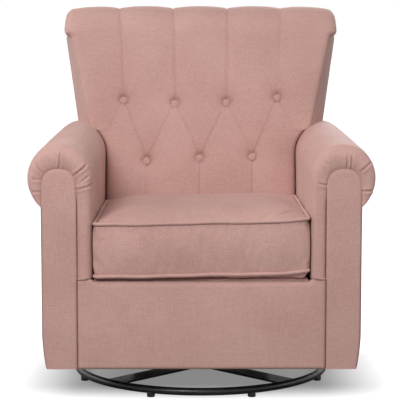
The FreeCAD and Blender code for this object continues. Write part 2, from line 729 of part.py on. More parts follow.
def arm_pad():
    """Padded scroll arm, hollow round its frame and open underneath and to the seat."""
    length = "%s-%s" % (outside_back("roll_height+roll_radius"), PAD_FRONT)
    body = slab("arm_pad_left", "XZ", PAD_FRONT, length, [
        ("panel_inner", "body_bottom"), ("body_side", "body_bottom")]
        + scroll("body_side", "arm_inner", "roll_radius", "tuck_radius")
        + [("arm_inner", "deck_top+soft_gap"), ("panel_inner", "deck_top+soft_gap")])
    lowest = value("roll_height-tuck_radius")
    add_chamfer(body, "arm_bevel", lambda e: e.BoundBox.YMax < value(PAD_FRONT) + 0.01
                and e.BoundBox.ZMin > lowest and e.BoundBox.ZMax > value("roll_height"))
    side = "(body_side-arm_wall)"
    add_pocket(body, "XZ", PAD_FRONT + "+arm_wall", "%s+frame_gap-%s-arm_wall" % (RAIL_REAR, PAD_FRONT), [
        ("arm_inner-beyond", "body_bottom-beyond"), (side, "body_bottom-beyond")]
        + scroll(side, "(arm_inner+arm_wall)", "(roll_radius-arm_wall)", "(tuck_radius-arm_wall)")
        + [("arm_inner+arm_wall", "deck_top-arm_wall"), ("arm_inner-beyond", "deck_top-arm_wall")])
    top = "roll_height+2*roll_radius"
    add_pocket(body, "YZ", "0", "2*body_side", [
        ("back_foot", "body_bottom-beyond"), ("2*rear_reach", "body_bottom-beyond"),
        ("2*rear_reach", top), (outside_back(top), top), ("back_foot", "back_knee")])
    return body


def arm_front_panel():
    """Padded panel with an arched top on the front of an arm."""
    body = slab("arm_front_panel_left", "XZ", "-front_reach", "panel_thick", [
        ("panel_inner", "body_bottom"), ("body_side", "body_bottom"),
        ("body_side", "panel_shoulder", "panel_arch"), ("panel_inner", "panel_shoulder")])
    add_fillet(body, "shoulder_round", lambda e: e.BoundBox.YLength > 1
               and e.BoundBox.ZMin > value("body_bottom") + 1)
    add_chamfer(body, "panel_bevel", lambda e: e.BoundBox.YMax < -value("front_reach") + 0.01
                and e.BoundBox.ZMax > value("body_bottom") + 1)
    return body


def front_apron():
    """Padded band across the front of the seat frame, between the arm panels."""
    front = "(apron_recess-front_reach)"
    body = slab("front_apron", "YZ", "-panel_inner+soft_gap/3", "2*(panel_inner-soft_gap/3)",
                rectangle(front, "body_bottom", front + "+apron_thick", "deck_top"))
    add_fillet(body, "apron_round", lambda e: e.BoundBox.YMax < value(front) + 0.01
               and e.BoundBox.XLength > 100)
    return body


def deck_pad():
    """Padded deck over the springs, under the loose cushion."""
    return slab("deck_pad", "XY", "deck_top-deck_thick", "deck_thick", rectangle(
        "soft_gap-arm_inner", "apron_recess+apron_thick+soft_gap-front_reach",
        "arm_inner-soft_gap", inside_back("back_bottom") + "-2*soft_gap"))


CREASE = "(back_top-back_crest)"
ROLL_CLEAR = "(roll_radius+soft_gap)"
SEAM_FOOT = "(roll_height+sqrt(pow(%s;2)-pow(seam_low_inset;2)))" % ROLL_CLEAR
CREST_RADIUS = "(back_crest/(1-sin(back_rake*1deg)))"
CREST_TOP = "(%s+%s*cos(back_rake*1deg))" % (inside_back(CREASE), CREST_RADIUS)
SCROLL_ALONG = "(rear_reach-back_scroll)"
SCROLL_FOOT = "(back_top-2*back_scroll)"


def both_sides(right):
    """Close an outline drawn up the chair's +X side with its mirror image."""
    left = []
    for i in reversed(range(len(right))):
        curve = right[i - 1][2:] if i else ()
        left.append(("-(%s)" % right[i][0], right[i][1], *curve))
    return right + left


def back_profile(name, rear_gap):
    """The back seen from the side, leaning, with its crest rolled over to the rear."""
    rear = "(%s-%s)"
    return slab(name, "YZ", "-crest_half", "2*crest_half", [
        (inside_back("back_bottom"), "back_bottom"), ("back_foot-" + rear_gap, "back_bottom"),
        ("back_foot-" + rear_gap, "back_knee"), (rear % (outside_back(SCROLL_FOOT), rear_gap), SCROLL_FOOT),
        (SCROLL_ALONG, SCROLL_FOOT, "back_scroll"), ("rear_reach", "back_top-back_scroll", "back_scroll"),
        (SCROLL_ALONG, "back_top"), (CREST_TOP, "back_top", CREST_RADIUS), (inside_back(CREASE), CREASE)])


def on_back(obj, across, height, depth):
    """Stand an object on the leaning front of the back, sunk in by a depth."""
    return moved(obj, across, "%s+%s*cos(back_rake*1deg)" % (inside_back(height), depth),
                 "%s-%s*sin(back_rake*1deg)" % (height, depth), Vector(1, 0, 0), "90-back_rake")


BUTTONS = [("%.1f*button_pitch" % step, "button_high") for step in (-1.5, -0.5, 0.5, 1.5)]
BUTTONS += [("%.1f*button_pitch" % step, "button_low") for step in (-1, 0, 1)]
FLATS = 12


def back_pad():
    """Tufted pad and its crest: the side profile met by the front outline, which is
    hollowed to sit on the arm scrolls, with a tapered tuft under each button."""
    outline = slab("BackFront", "XZ", "-front_reach", "2*rear_reach", both_sides([
        ("arm_inner-soft_gap", "back_bottom"), ("arm_inner-soft_gap", "roll_height", ROLL_CLEAR, "hollow"),
        ("seam_low_half", SEAM_FOOT), ("seam_high_half", CREASE), ("back_high_half", CREASE),
        ("crest_half", "back_top-crest_round", "crest_round"), ("crest_half-crest_round", "back_top")]))
    plain = combine("Common", "PlainBackPad", back_profile("BackProfile", "frame_depth"), outline)
    tufts = []
    for number, (across, height) in enumerate(BUTTONS):
        tuft = slab("Tuft%d" % number, "XY", "0", "dimple_depth+1", polygon("0", "0", "dimple_radius", FLATS))
        slope = add_chamfer(tuft, "dimple_depth", lambda e: e.BoundBox.ZMax < 0.01)
        slope.ChamferType = "Two distances"
        slope.setExpression("Size2", formula("dimple_radius-button_radius-1"))
        tufts.append(on_back(tuft, across, height, "dimple_depth"))
    return combine("Cut", "back_pad", plain, fuse("Tufts", *tufts))


def tuft_buttons():
    """Covered buttons with a bevelled dome, at the bottom of the tufts."""
    buttons = []
    for number, (across, height) in enumerate(BUTTONS):
        button = slab("Button%d" % number, "XY", "0", "button_dome",
                      polygon("0", "0", "button_radius", FLATS))
        add_chamfer(button, "button_bevel", lambda e: e.BoundBox.ZMin > value("button_dome") - 0.01)
        buttons.append(on_back(button, across, height, "dimple_depth"))
    return fuse("tuft_buttons", *buttons)


def back_side_border():
    """Plain band of the back between the tufted panel's seam and the outer edge."""
    outline = slab("BorderFront", "XZ", "-front_reach", "2*rear_reach", [
        ("seam_low_half", SEAM_FOOT, ROLL_CLEAR, "hollow"), ("roll_middle", "roll_height+" + ROLL_CLEAR),
        ("back_low_half", "roll_height+" + ROLL_CLEAR), ("back_high_half", CREASE),
        ("seam_high_half", CREASE)])
    return combine("Common", "back_side_border_left",
                   back_profile("BorderProfile", "(outer_thick+soft_gap/3)"), outline)


def outside_back_cover():
    """Plain cover over the rear of the back, down to the bottom of the body."""
    inner = "back_foot-outer_thick"
    lean = outside_back(SCROLL_FOOT)
    profile = slab("OutsideProfile", "YZ", "-crest_half", "2*crest_half", [
        (inner, "body_bottom"), ("back_foot", "body_bottom"), ("back_foot", "back_knee"),
        (lean, SCROLL_FOOT), (lean + "-outer_thick", SCROLL_FOOT), (inner, "back_knee")])
    outline = slab("OutsideFront", "XZ", "-front_reach", "2*rear_reach", both_sides([
        ("panel_inner-soft_gap/3", "body_bottom"), ("panel_inner-soft_gap/3", "deck_top"),
        ("arm_inner-soft_gap", "deck_top"), ("arm_inner-soft_gap", "roll_height", ROLL_CLEAR, "hollow"),
        ("roll_middle", "roll_height+" + ROLL_CLEAR), ("back_low_half", "roll_height+" + ROLL_CLEAR),
        ("back_high_half", CREASE), ("back_high_half", SCROLL_FOOT + "+beyond")]))
    return combine("Common", "outside_back", profile, outline)


# ---------------------------------------------------------------- loose cushion

CUSHION_SIDE = "(arm_inner-cushion_gap-welt_radius)"
CUSHION_FRONT = "(welt_radius-front_reach+panel_thick/2)"
CUSHION_BOTTOM = "(deck_top+lift_gap)"
LOWER_WELT = "(deck_top+cushion_foot)"
UPPER_WELT = "(deck_top+cushion_foot+cushion_height)"
CROWN = "(%s+crown_rise)" % UPPER_WELT


def cushion_rear(height):
    """Formula of the cushion's rear face along Y, clear of the back pad."""
    return "(%s-welt_radius-2*soft_gap)" % inside_back(height)


def plan(rear, inset):
    """The cushion seen from above, drawn in from its edge: round front corners."""
    side = "(%s-%s)" % (CUSHION_SIDE, inset)
    front = "(%s+%s)" % (CUSHION_FRONT, inset)
    back = "(%s-%s)" % (rear, inset)
    corner = "(cushion_corner-%s)" % inset
    return [
        ("-%s+%s" % (side, corner), front), ("%s-%s" % (side, corner), front, corner),
        (side, "%s+%s" % (front, corner)), (side, back), ("-" + side, back),
        ("-" + side, "%s+%s" % (front, corner), corner)]


def cushion_block(name, inset, rear_inset):
    """Crowned block with the cushion's plan and side profile, drawn in from its faces."""
    crown = "pow(%s-%s;2)/8/crown_rise+crown_rise/2" % (cushion_rear(UPPER_WELT), CUSHION_FRONT)
    low, high = CUSHION_BOTTOM + "+" + inset, UPPER_WELT + "-" + inset
    front = "%s+%s" % (CUSHION_FRONT, inset)
    profile = slab(name + "Side", "YZ", "-arm_inner", "2*arm_inner", [
        (front, low), ("%s-%s" % (cushion_rear(low), rear_inset), low),
        ("%s-%s" % (cushion_rear(high), rear_inset), high, crown), (front, high)])
    outline = slab(name + "Plan", "XY", "deck_top-beyond", "2*cushion_height", plan("back_foot", inset))
    return combine("Common", name, profile, outline)


def cushion_welt(name, height):
    """Welt cord round the cushion at one height, as a round tube."""
    spine = doc.addObject("Sketcher::SketchObject", name + "Spine")
    draw_outline(spine, plan(cushion_rear(height), "0"))
    moved(spine, up=height)
    section = doc.addObject("Part::RegularPolygon", name + "Section")
    section.Polygon = 6
    section.setExpression("Circumradius", formula("welt_radius"))
    moved(section, "0", CUSHION_FRONT, height, Vector(0, 1, 0), "90")
    cord = doc.addObject("Part::Sweep", name)
    cord.Sections = [section]
    cord.Spine = (spine, [])
    cord.Solid = True
    cord.Transition = "Right corner"
    return cord


def cushion_nodes():
    """Foam core, fabric cover open at the rear, its zip band, and the two welts."""
    whole = cushion_block("CushionWhole", "0", "0")
    foam = cushion_block("cushion_foam", "cover_thick", "cover_thick")
    opening = cushion_block("CoverOpening", "cover_thick", "-cover_thick")
    cover = combine("Cut", "cushion_cover", whole, opening)
    zip_band = combine("Cut", "cushion_zip_band", combine("Common", "ZipSpace", whole, opening), foam)
    cords = fuse("WeltCords", cushion_welt("LowerWelt", LOWER_WELT), cushion_welt("UpperWelt", UPPER_WELT))
    return foam, cover, zip_band, combine("Cut", "cushion_welts", cords, whole)


# ---------------------------------------------------------------- all the sub-parts

def pair(piece):
    """Keep a left piece and its mirror image on the right."""
    keep(piece, mirror(piece.Label.replace("_left", "_right"), piece))


def both(name, *left_pieces):
    """Keep left pieces and their mirror images as one sub-part."""
    right_pieces = [mirror(piece.Label + "Right", piece) for piece in left_pieces]
    keep(fuse(name, *left_pieces, *right_pieces))


keep(base_ring("base_ring"), base_cross(), fuse("floor_glides", *[floor_glide(n) for n in range(GLIDES)]))
keep(bearing_plate("lower_bearing_plate", "bar_top", "bolt_radius", True), king_bolt(), ball_cage())
keep(bearing_plate("upper_bearing_plate", "(bar_top+race_plate+race_space)", "bolt_radius+bolt_gap", False))
keep(cross_channel("cross_channel_front", -1), cross_channel("cross_channel_rear", 1))
pair(swivel_side_plate())
both("rubber_stops", rubber_stop("StopFront", -1), rubber_stop("StopRear", 1))
both("upper_studs", upper_stud("UpperStudFront", -1), upper_stud("UpperStudRear", 1))
both("lower_studs", lower_stud("LowerStudFront", -1), lower_stud("LowerStudRear", 1))
both("swing_links_front", swing_link("LinkFront", -1))
both("swing_links_rear", swing_link("LinkRear", 1))
pair(seat_angle())
pair(side_rail())
keep(cross_rail("front_rail", "-rail_front"), cross_rail("rear_rail", RAIL_REAR + "-board"), seat_springs())
pair(back_stile())
keep(back_rail("lower_back_rail", "(back_knee+board_lift)", "(back_knee+board_lift+back_board)"),
     back_rail("upper_back_rail", CREASE + "-stile_drop-back_board", CREASE + "-stile_drop"))
pair(arm_frame())
keep(deck_pad(), front_apron())
pair(arm_pad())
pair(arm_front_panel())
keep(back_pad(), tuft_buttons(), outside_back_cover())
pair(back_side_border())
keep(*cushion_nodes())
doc.recompute()

faults = [o.Name for o in doc.Objects if "Invalid" in o.State or "Error" in o.State]
for node in nodes:
    if node.Shape.isNull() or not node.Shape.isValid():
        faults.append(node.Label + " has no valid shape")
if faults:
    raise RuntimeError("these failed: " + ", ".join(faults))

os.makedirs("parts", exist_ok=True)
for node in nodes:
    node.Shape.exportStep("parts/%s.step" % node.Label)
print(len(nodes), "sub-parts")
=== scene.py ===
import math

import bmesh
import bpy
import numpy as np
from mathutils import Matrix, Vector
from mathutils.kdtree import KDTree


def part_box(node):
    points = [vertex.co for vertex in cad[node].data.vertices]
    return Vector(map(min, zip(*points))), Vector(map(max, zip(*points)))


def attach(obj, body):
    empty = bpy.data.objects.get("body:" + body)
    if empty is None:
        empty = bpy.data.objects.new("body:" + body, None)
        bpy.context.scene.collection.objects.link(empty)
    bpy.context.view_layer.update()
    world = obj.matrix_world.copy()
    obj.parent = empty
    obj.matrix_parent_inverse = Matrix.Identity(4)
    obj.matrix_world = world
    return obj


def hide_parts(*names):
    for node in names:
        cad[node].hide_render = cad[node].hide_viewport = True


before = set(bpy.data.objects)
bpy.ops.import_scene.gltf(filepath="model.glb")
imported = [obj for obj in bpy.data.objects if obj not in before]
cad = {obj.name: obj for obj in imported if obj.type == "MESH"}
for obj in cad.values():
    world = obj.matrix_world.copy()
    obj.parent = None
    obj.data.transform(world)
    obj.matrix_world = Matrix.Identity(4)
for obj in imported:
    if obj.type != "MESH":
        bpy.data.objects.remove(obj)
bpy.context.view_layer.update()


# ---- Base ring
# One length of round steel tube, bent to a circle, butt welded and powder coated
# satin black. It carries the whole chair on its glides.

def surface(name, points, round_rows=False, round_columns=False):
    """Smooth mesh object from a grid of points, rows by columns."""
    rows, columns = points.shape[:2]
    index = np.arange(rows * columns).reshape(rows, columns)
    if round_rows:
        index = np.vstack([index, index[:1]])
    if round_columns:
        index = np.hstack([index, index[:, :1]])
    faces = np.stack([index[:-1, :-1], index[1:, :-1], index[1:, 1:], index[:-1, 1:]], -1)
    mesh = bpy.data.meshes.new(name)
    mesh.from_pydata(points.reshape(-1, 3).tolist(), [], faces.reshape(-1, 4).tolist())
    mesh.polygons.foreach_set("use_smooth", [True] * len(mesh.polygons))
    piece = bpy.data.objects.new(name, mesh)
    bpy.context.scene.collection.objects.link(piece)
    return piece


def finish_nodes(name):
    """New node material and its shader."""
    material = bpy.data.materials.new(name)
    material.use_nodes = True
    return material, material.node_tree, material.node_tree.nodes["Principled BSDF"]


def noise_field(tree, scale, detail, stretch=(1, 1, 1)):
    """Noise over the object's own coordinates; scale is in features a metre."""
    place = tree.nodes.new("ShaderNodeTexCoord")
    mapping = tree.nodes.new("ShaderNodeMapping")
    mapping.inputs["Scale"].default_value = [scale * s for s in stretch]
    field = tree.nodes.new("ShaderNodeTexNoise")
    field.inputs["Scale"].default_value = 1
    field.inputs["Detail"].default_value = detail
    tree.links.new(place.outputs["Object"], mapping.inputs["Vector"])
    tree.links.new(mapping.outputs["Vector"], field.inputs["Vector"])
    return field.outputs["Fac"]


def ramp(tree, value, stops):
    """Colour ramp from (position, colour) stops."""
    node = tree.nodes.new("ShaderNodeValToRGB")
    bands = node.color_ramp
    while len(bands.elements) < len(stops):
        bands.elements.new(0.5)
    for element, (position, colour) in zip(bands.elements, stops):
        element.position = position
        element.color = (*colour, 1)
    tree.links.new(value, node.inputs["Fac"])
    return node.outputs["Color"]


def level(tree, value, low, high):
    """Noise spread between two plain numbers."""
    node = tree.nodes.new("ShaderNodeMapRange")
    node.inputs["From Min"].default_value = 0.3
    node.inputs["From Max"].default_value = 0.7
    node.inputs["To Min"].default_value = low
    node.inputs["To Max"].default_value = high
    tree.links.new(value, node.inputs["Value"])
    return node.outputs["Result"]


def raise_bump(tree, shader, height, depth, strength):
    """Bump of a height field, in metres."""
    node = tree.nodes.new("ShaderNodeBump")
    node.inputs["Distance"].default_value = depth
    node.inputs["Strength"].default_value = strength
    tree.links.new(height, node.inputs["Height"])
    tree.links.new(node.outputs["Normal"], shader.inputs["Normal"])


def coated_steel():
    """Satin black powder coat: fine orange peel, a little dust."""
    material, tree, shader = finish_nodes("black_powder_coat")
    speckle = noise_field(tree, 900, 3)
    dust = noise_field(tree, 35, 4)
    tree.links.new(ramp(tree, dust, [(0.35, (0.016, 0.016, 0.018)), (0.7, (0.030, 0.029, 0.030))]),
                   shader.inputs["Base Color"])
    tree.links.new(level(tree, dust, 0.30, 0.42), shader.inputs["Roughness"])
    raise_bump(tree, shader, speckle, 0.00012, 0.5)
    return material


def dress(node, material, bevel, angle=30):
    """Finish a sub-part carried over from the frame: its edges eased, its material set."""
    piece = cad[node]
    weld = piece.modifiers.new("Weld", "WELD")
    weld.merge_threshold = 0.00001
    ease = piece.modifiers.new("Ease", "BEVEL")
    ease.width = bevel
    ease.segments = 2
    ease.limit_method = "ANGLE"
    ease.angle_limit = math.radians(angle)
    ease.harden_normals = True
    piece.data.materials.clear()
    piece.data.materials.append(material)


BLACK = coated_steel()
ring_low, ring_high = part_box("base_ring")
tube = (ring_high.z - ring_low.z) / 2
ring_turn = np.linspace(0, 2 * math.pi, 192, endpoint=False)[:, None]
tube_turn = np.linspace(0, 2 * math.pi, 24, endpoint=False)[None, :]
reach = ring_high.x - tube + tube * np.cos(tube_turn)
base_ring = surface("base_ring_tube", np.stack([
    reach * np.cos(ring_turn), reach * np.sin(ring_turn),
    ring_low.z + tube + tube * np.sin(tube_turn) + 0 * ring_turn], -1), True, True)
base_ring.data.materials.append(BLACK)
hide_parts("base_ring")
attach(base_ring, "base")


# ---- Cross bars and floor glides
# Two flat steel bars, halved together and welded inside the ring, in the same
# black coat. The glides are black nylon feet pressed up on to the tube.

def nylon():
    """Matte black moulded nylon."""
    material, tree, shader = finish_nodes("black_nylon")
    scuff = noise_field(tree, 260, 4)
    tree.links.new(ramp(tree, scuff, [(0.35, (0.020, 0.020, 0.021)), (0.7, (0.042, 0.041, 0.040))]),
                   shader.inputs["Base Color"])
    tree.links.new(level(tree, scuff, 0.48, 0.66), shader.inputs["Roughness"])
    raise_bump(tree, shader, scuff, 0.0002, 0.4)
    return material


dress("base_cross", BLACK, 0.0008)
dress("floor_glides", nylon(), 0.0012)


# ---- Ball swivel
# Two pressed plates with a ring of caged balls between them, on a king bolt.
# Zinc plated, with grease darkening the races.

def zinc(name, tone, rough):
    """Zinc plate: pale, faintly mottled by its crystals."""
    material, tree, shader = finish_nodes(name)
    mottle = noise_field(tree, 70, 5)
    grain = noise_field(tree, 1200, 2)
    tree.links.new(ramp(tree, mottle, [(0.3, [c * 0.78 for c in tone]), (0.7, tone)]),
                   shader.inputs["Base Color"])
    tree.links.new(level(tree, mottle, rough, rough + 0.14), shader.inputs["Roughness"])
    shader.inputs["Metallic"].default_value = 1.0
    raise_bump(tree, shader, grain, 0.00005, 0.5)
    return material


ZINC = zinc("zinc_plate", (0.56, 0.57, 0.58), 0.30)
BOLT_STEEL = zinc("bolt_steel", (0.46, 0.46, 0.47), 0.24)
dress("lower_bearing_plate", ZINC, 0.0006)
dress("upper_bearing_plate", ZINC, 0.0006)
dress("ball_cage", BOLT_STEEL, 0.0006, 20)
dress("king_bolt", BOLT_STEEL, 0.0006)


# ---- Swivel frame
# Two inverted channels welded across the upper plate and a stamped side plate
# at each end of them. The upper pivots are shoulder studs riveted in their ears.

dress("cross_channel_front", BLACK, 0.0006)
dress("cross_channel_rear", BLACK, 0.0006)
dress("swivel_side_plate_left", BLACK, 0.0005)
dress("swivel_side_plate_right", BLACK, 0.0005)
dress("upper_studs", BOLT_STEEL, 0.0005)
dress("lower_studs", BOLT_STEEL, 0.0005)


# ---- Glide links and stops
# Four flat steel links with a bush in each end let the seat swing fore and aft.
# Rubber buffers on the side plates end the swing.

def rubber():
    """Black rubber, dull and slightly dusty."""
    material, tree, shader = finish_nodes("stop_rubber")
    bloom = noise_field(tree, 180, 4)
    tree.links.new(ramp(tree, bloom, [(0.3, (0.018, 0.018, 0.018)), (0.75, (0.040, 0.039, 0.037))]),
                   shader.inputs["Base Color"])
    tree.links.new(level(tree, bloom, 0.68, 0.85), shader.inputs["Roughness"])
    raise_bump(tree, shader, bloom, 0.0002, 0.3)
    return material


dress("swing_links_front", ZINC, 0.0006)
dress("swing_links_rear", ZINC, 0.0006)
dress("rubber_stops", rubber(), 0.0008)


# ---- Seat frame
# Steel angles screwed under solid pine rails, and sinuous springs clipped from
# the front rail to the rear one.

def pine():
    """Planed pine with its grain along Y and Z, sawn and unfinished."""
    material, tree, shader = finish_nodes("planed_pine")
    grain = noise_field(tree, 1, 4, (60, 9, 9))
    pores = noise_field(tree, 1, 3, (900, 60, 60))
    tree.links.new(ramp(tree, grain, [(0.25, (0.46, 0.29, 0.15)), (0.5, (0.62, 0.43, 0.25)),
                                      (0.75, (0.70, 0.52, 0.33))]), shader.inputs["Base Color"])
    tree.links.new(level(tree, pores, 0.55, 0.75), shader.inputs["Roughness"])
    raise_bump(tree, shader, pores, 0.0003, 0.5)
    return material


PINE = pine()
for side in ("left", "right"):
    dress("seat_angle_" + side, BLACK, 0.0006)
    dress("side_rail_" + side, PINE, 0.0015)
    dress("back_stile_" + side, PINE, 0.0015)
    dress("arm_frame_" + side, PINE, 0.0012)
for rail in ("front_rail", "rear_rail", "lower_back_rail", "upper_back_rail"):
    dress(rail, PINE, 0.0015)
dress("seat_springs", zinc("spring_wire", (0.20, 0.20, 0.21), 0.34), 0.0006, 40)


# ---- Deck
# The seat deck under the loose cushion: felt and burlap over the springs with a
# plain panel of the cover cloth, pulled down and stapled along the rails.

def maths(tree, operation, first, second=None):
    """One step of arithmetic on sockets or numbers."""
    node = tree.nodes.new("ShaderNodeMath")
    node.operation = operation
    for socket, given in zip(node.inputs, (first, second)):
        if isinstance(given, float):
            socket.default_value = given
        elif given is not None:
            tree.links.new(given, socket)
    return node.outputs[0]


def linen():
    """Blush plain-weave linen look: slubbed threads both ways, a soft nap."""
    material, tree, shader = finish_nodes("blush_linen")
    slubs = []
    fine = []
    for axis in range(3):
        stretch = [1, 1, 1]
        stretch[axis] = 0.07
        slubs.append(noise_field(tree, 420, 3, stretch))
        stretch[axis] = 0.12
        fine.append(noise_field(tree, 1500, 1, stretch))
    cloud = noise_field(tree, 6, 2)

    def mean(fields):
        """Mean of some fields."""
        total = fields[0]
        for field in fields[1:]:
            total = maths(tree, "ADD", total, field)
        return maths(tree, "DIVIDE", total, float(len(fields)))

    weave = mean([mean(slubs), mean(slubs), mean(fine), mean(fine), mean(fine), cloud])
    tree.links.new(ramp(tree, weave, [(0.42, LINEN_DARK), (0.50, LINEN), (0.58, LINEN_LIGHT)]),
                   shader.inputs["Base Color"])
    tree.links.new(level(tree, mean(fine), 0.72, 0.88), shader.inputs["Roughness"])
    shader.inputs["Sheen Weight"].default_value = 0.12
    shader.inputs["Sheen Roughness"].default_value = 0.45
    shader.inputs["Specular IOR Level"].default_value = 0.25
    raise_bump(tree, shader, mean([mean(fine), mean(slubs)]), 0.0006, 0.35)
    return material


def upholster(piece, fill, body, *nodes_replaced):
    piece.data.materials.append(COVER)
    if nodes_replaced:
        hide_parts(*nodes_replaced)
    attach(piece, body)


def thicken(piece, thickness):
    """Give a single sheet of cover its thickness, inwards."""
    thick = piece.modifiers.new("Thick", "SOLIDIFY")
    thick.thickness = thickness
    thick.offset = -1


def eased(share, width, radius):
    """How far a puffed face has fallen towards its edge: share is 0..1 of half the width."""
    inside = np.clip((np.abs(share) * width - (width - radius)) / radius, 0, 1)
    return radius * (1 - np.sqrt(1 - inside ** 2))


LINEN = (0.560, 0.334, 0.296)
LINEN_LIGHT = (0.640, 0.400, 0.358)
LINEN_DARK = (0.480, 0.275, 0.240)
COVER = linen()

deck_low, deck_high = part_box("deck_pad")
DECK_EDGE = 0.008
half = (deck_high - deck_low) / 2
middle = (deck_high + deck_low) / 2
u, v = np.meshgrid(np.linspace(-1, 1, 61), np.linspace(-1, 1, 81))
drop = eased(u, half.x, DECK_EDGE) + eased(v, half.y, DECK_EDGE)
deck_top = np.stack([middle.x + u * (half.x - 0.0002), middle.y + v * (half.y - 0.0002),
                     deck_high.z - 0.0005 - np.minimum(drop, 2 * DECK_EDGE)], -1)
deck = surface("seat_deck", deck_top)
thicken(deck, 0.003)
upholster(deck, 0.8, "chair", "deck_pad")


# ---- Arms
# A pine frame wrapped in fibre and foam, with one width of cloth pulled from
# under the arm, round the scroll and down inside to the deck. At the front the
# surplus is gathered in pleats round the panel's arch.

arm_low, arm_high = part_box("arm_pad_left")
panel_low, panel_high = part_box("arm_front_panel_left")
LEAN_DEGREES = 14
LEAN_TURN = math.radians(LEAN_DEGREES)
LEAN = math.tan(LEAN_TURN)
KNEE = 0.330
REAR_FOOT = 0.228
roll = (arm_high.x - arm_low.x) / 2
roll_x, roll_z = arm_low.x + roll, arm_high.z - roll - 0.011
ROLL_RISE = 0.024
ROLL_PUFF = 0.0025
SIDE_TUCK = 0.006
TAPER_FROM = 0.29
tuck = 0.089
tuck_x = arm_high.x - tuck


def outside_back(z):
    """Where the leaning rear of the chair is, along Y, at a height."""
    return REAR_FOOT + np.maximum(z - KNEE, 0) * LEAN


def roll_climb(y):
    """How much higher the arm's scroll is than at its front, along Y."""
    return ROLL_RISE * np.sqrt(np.clip((y - arm_low.y) / (0.29 - arm_low.y), 0, 1))


def arc(x, z, radius, start, end, count):
    """Points of an arc in the XZ plane, angles in degrees."""
    turn = np.radians(np.linspace(start, end, count))
    return np.stack([x + radius * np.cos(turn), z + radius * np.sin(turn)], -1)


def line(start, end, count):
    """Points of a straight run, both ends included."""
    share = np.linspace(0, 1, count)[:, None]
    return np.array(start) * (1 - share) + np.array(end) * share


def spaced(outline, count):
    """The same outline as evenly spaced points."""
    step = np.r_[0, np.cumsum(np.linalg.norm(np.diff(outline, axis=0), axis=1))]
    want = np.linspace(0, step[-1], count)
    return np.stack([np.interp(want, step, outline[:, i]) for i in range(2)], -1)


def tapered(x, z):
    """The side drawn in a little over its lowest part, its inner edge left where it is."""
    return x - 0.009 * np.clip((0.175 - z) / 0.08, 0, 1) ** 1.5 * (x - TAPER_FROM) / 0.082


def bump_at(distance, width):
    """Soft bell of a distance."""
    return np.exp(-(distance / width) ** 2)


def crease(points, start, end, width):
    """Depth 0..1 of a fold along a line: 1 on the line, fading at its far end and sides.
    Also returns the fading along it and the signed distance to its side."""
    fade = 0.25
    start, end = np.array(start), np.array(end)
    along_fold = end - start
    length = np.linalg.norm(along_fold)
    offset = points - start
    share = offset @ along_fold / length ** 2
    side = (offset[..., 0] * along_fold[1] - offset[..., 1] * along_fold[0]) / length
    ends = np.clip(np.minimum(share / fade + 0.9, (1 - share) / fade), 0, 1)
    ends = ends * ends * (3 - 2 * ends)
    return ends * bump_at(side, width), ends, side


# The arm's section, anticlockwise from under its outer side, as points in X and Z.
tuck_start = -math.degrees(math.acos((panel_high.x - tuck_x) / tuck))
tuck_z = roll_z + tuck * math.sin(math.radians(tuck_start))
bottom = arm_low.z
deck_z = 0.3075
hem = np.array([(0.345, bottom + 0.004), (0.356, bottom + 0.001),
                (0.364, bottom), (0.3695, bottom + 0.002)])
outer_side = spaced(line((panel_high.x, bottom + 0.006), (panel_high.x, tuck_z), 2), 60)
scroll = np.vstack([arc(tuck_x, roll_z, tuck, tuck_start, 0, 40)[1:],
                    arc(roll_x, roll_z, roll, 0, 180, 120)[1:]])
inner_face = spaced(line((arm_low.x, roll_z), (arm_low.x, deck_z), 2), 60)[1:]
inner_low = np.vstack([spaced(line((arm_low.x, deck_z), (panel_low.x, deck_z - 0.0005), 2), 8)[1:],
                       spaced(line((panel_low.x, deck_z), (panel_low.x, bottom + 0.006), 2), 24)[1:]])
inner_hem = hem[::-1] * [-1, 1] + [panel_high.x + panel_low.x, 0]
section = np.vstack([hem, outer_side, scroll, inner_face, inner_low, inner_hem])
first_scroll = len(hem) + len(outer_side)
first_inner = first_scroll + len(scroll)
top_of_scroll = first_scroll + int(np.argmax(scroll[:, 1]))

# The panel's outline, matched to the section: side for side, arch for scroll.
shoulder = 0.047
panel_x = (panel_low.x + panel_high.x) / 2
panel_half = (panel_high.x - panel_low.x) / 2
half_round = arc(0, 0, 1, 0, 180, 81)
arch = np.sign(half_round) * np.abs(half_round) ** 0.8 * [panel_half, shoulder]
arch = arch + [panel_x, panel_high.z + 0.004 - shoulder]
arch_left = np.vstack([line((panel_high.x, tuck_z), arch[0], 20)[:-1], arch[:41]])
arch_right = np.vstack([arch[40:], line(arch[-1], (panel_low.x, roll_z - 0.05), 10)[1:]])
turn_in = first_inner + 10
matched = section.copy()
matched[:len(hem)] = hem
matched[first_scroll:top_of_scroll + 1] = spaced(arch_left, top_of_scroll + 2 - first_scroll)[1:]
matched[top_of_scroll:turn_in + 1] = spaced(arch_right, turn_in + 1 - top_of_scroll)
inner_end = first_inner + len(inner_face)
share = np.linspace(0, 1, inner_end - turn_in)[:, None]
matched[turn_in:inner_end] = (np.array([panel_low.x, matched[turn_in, 1]]) * (1 - share)
                              + np.array([panel_low.x, deck_z - 0.002]) * share)
matched[inner_end:, 0] = np.maximum(matched[inner_end:, 0], panel_low.x)

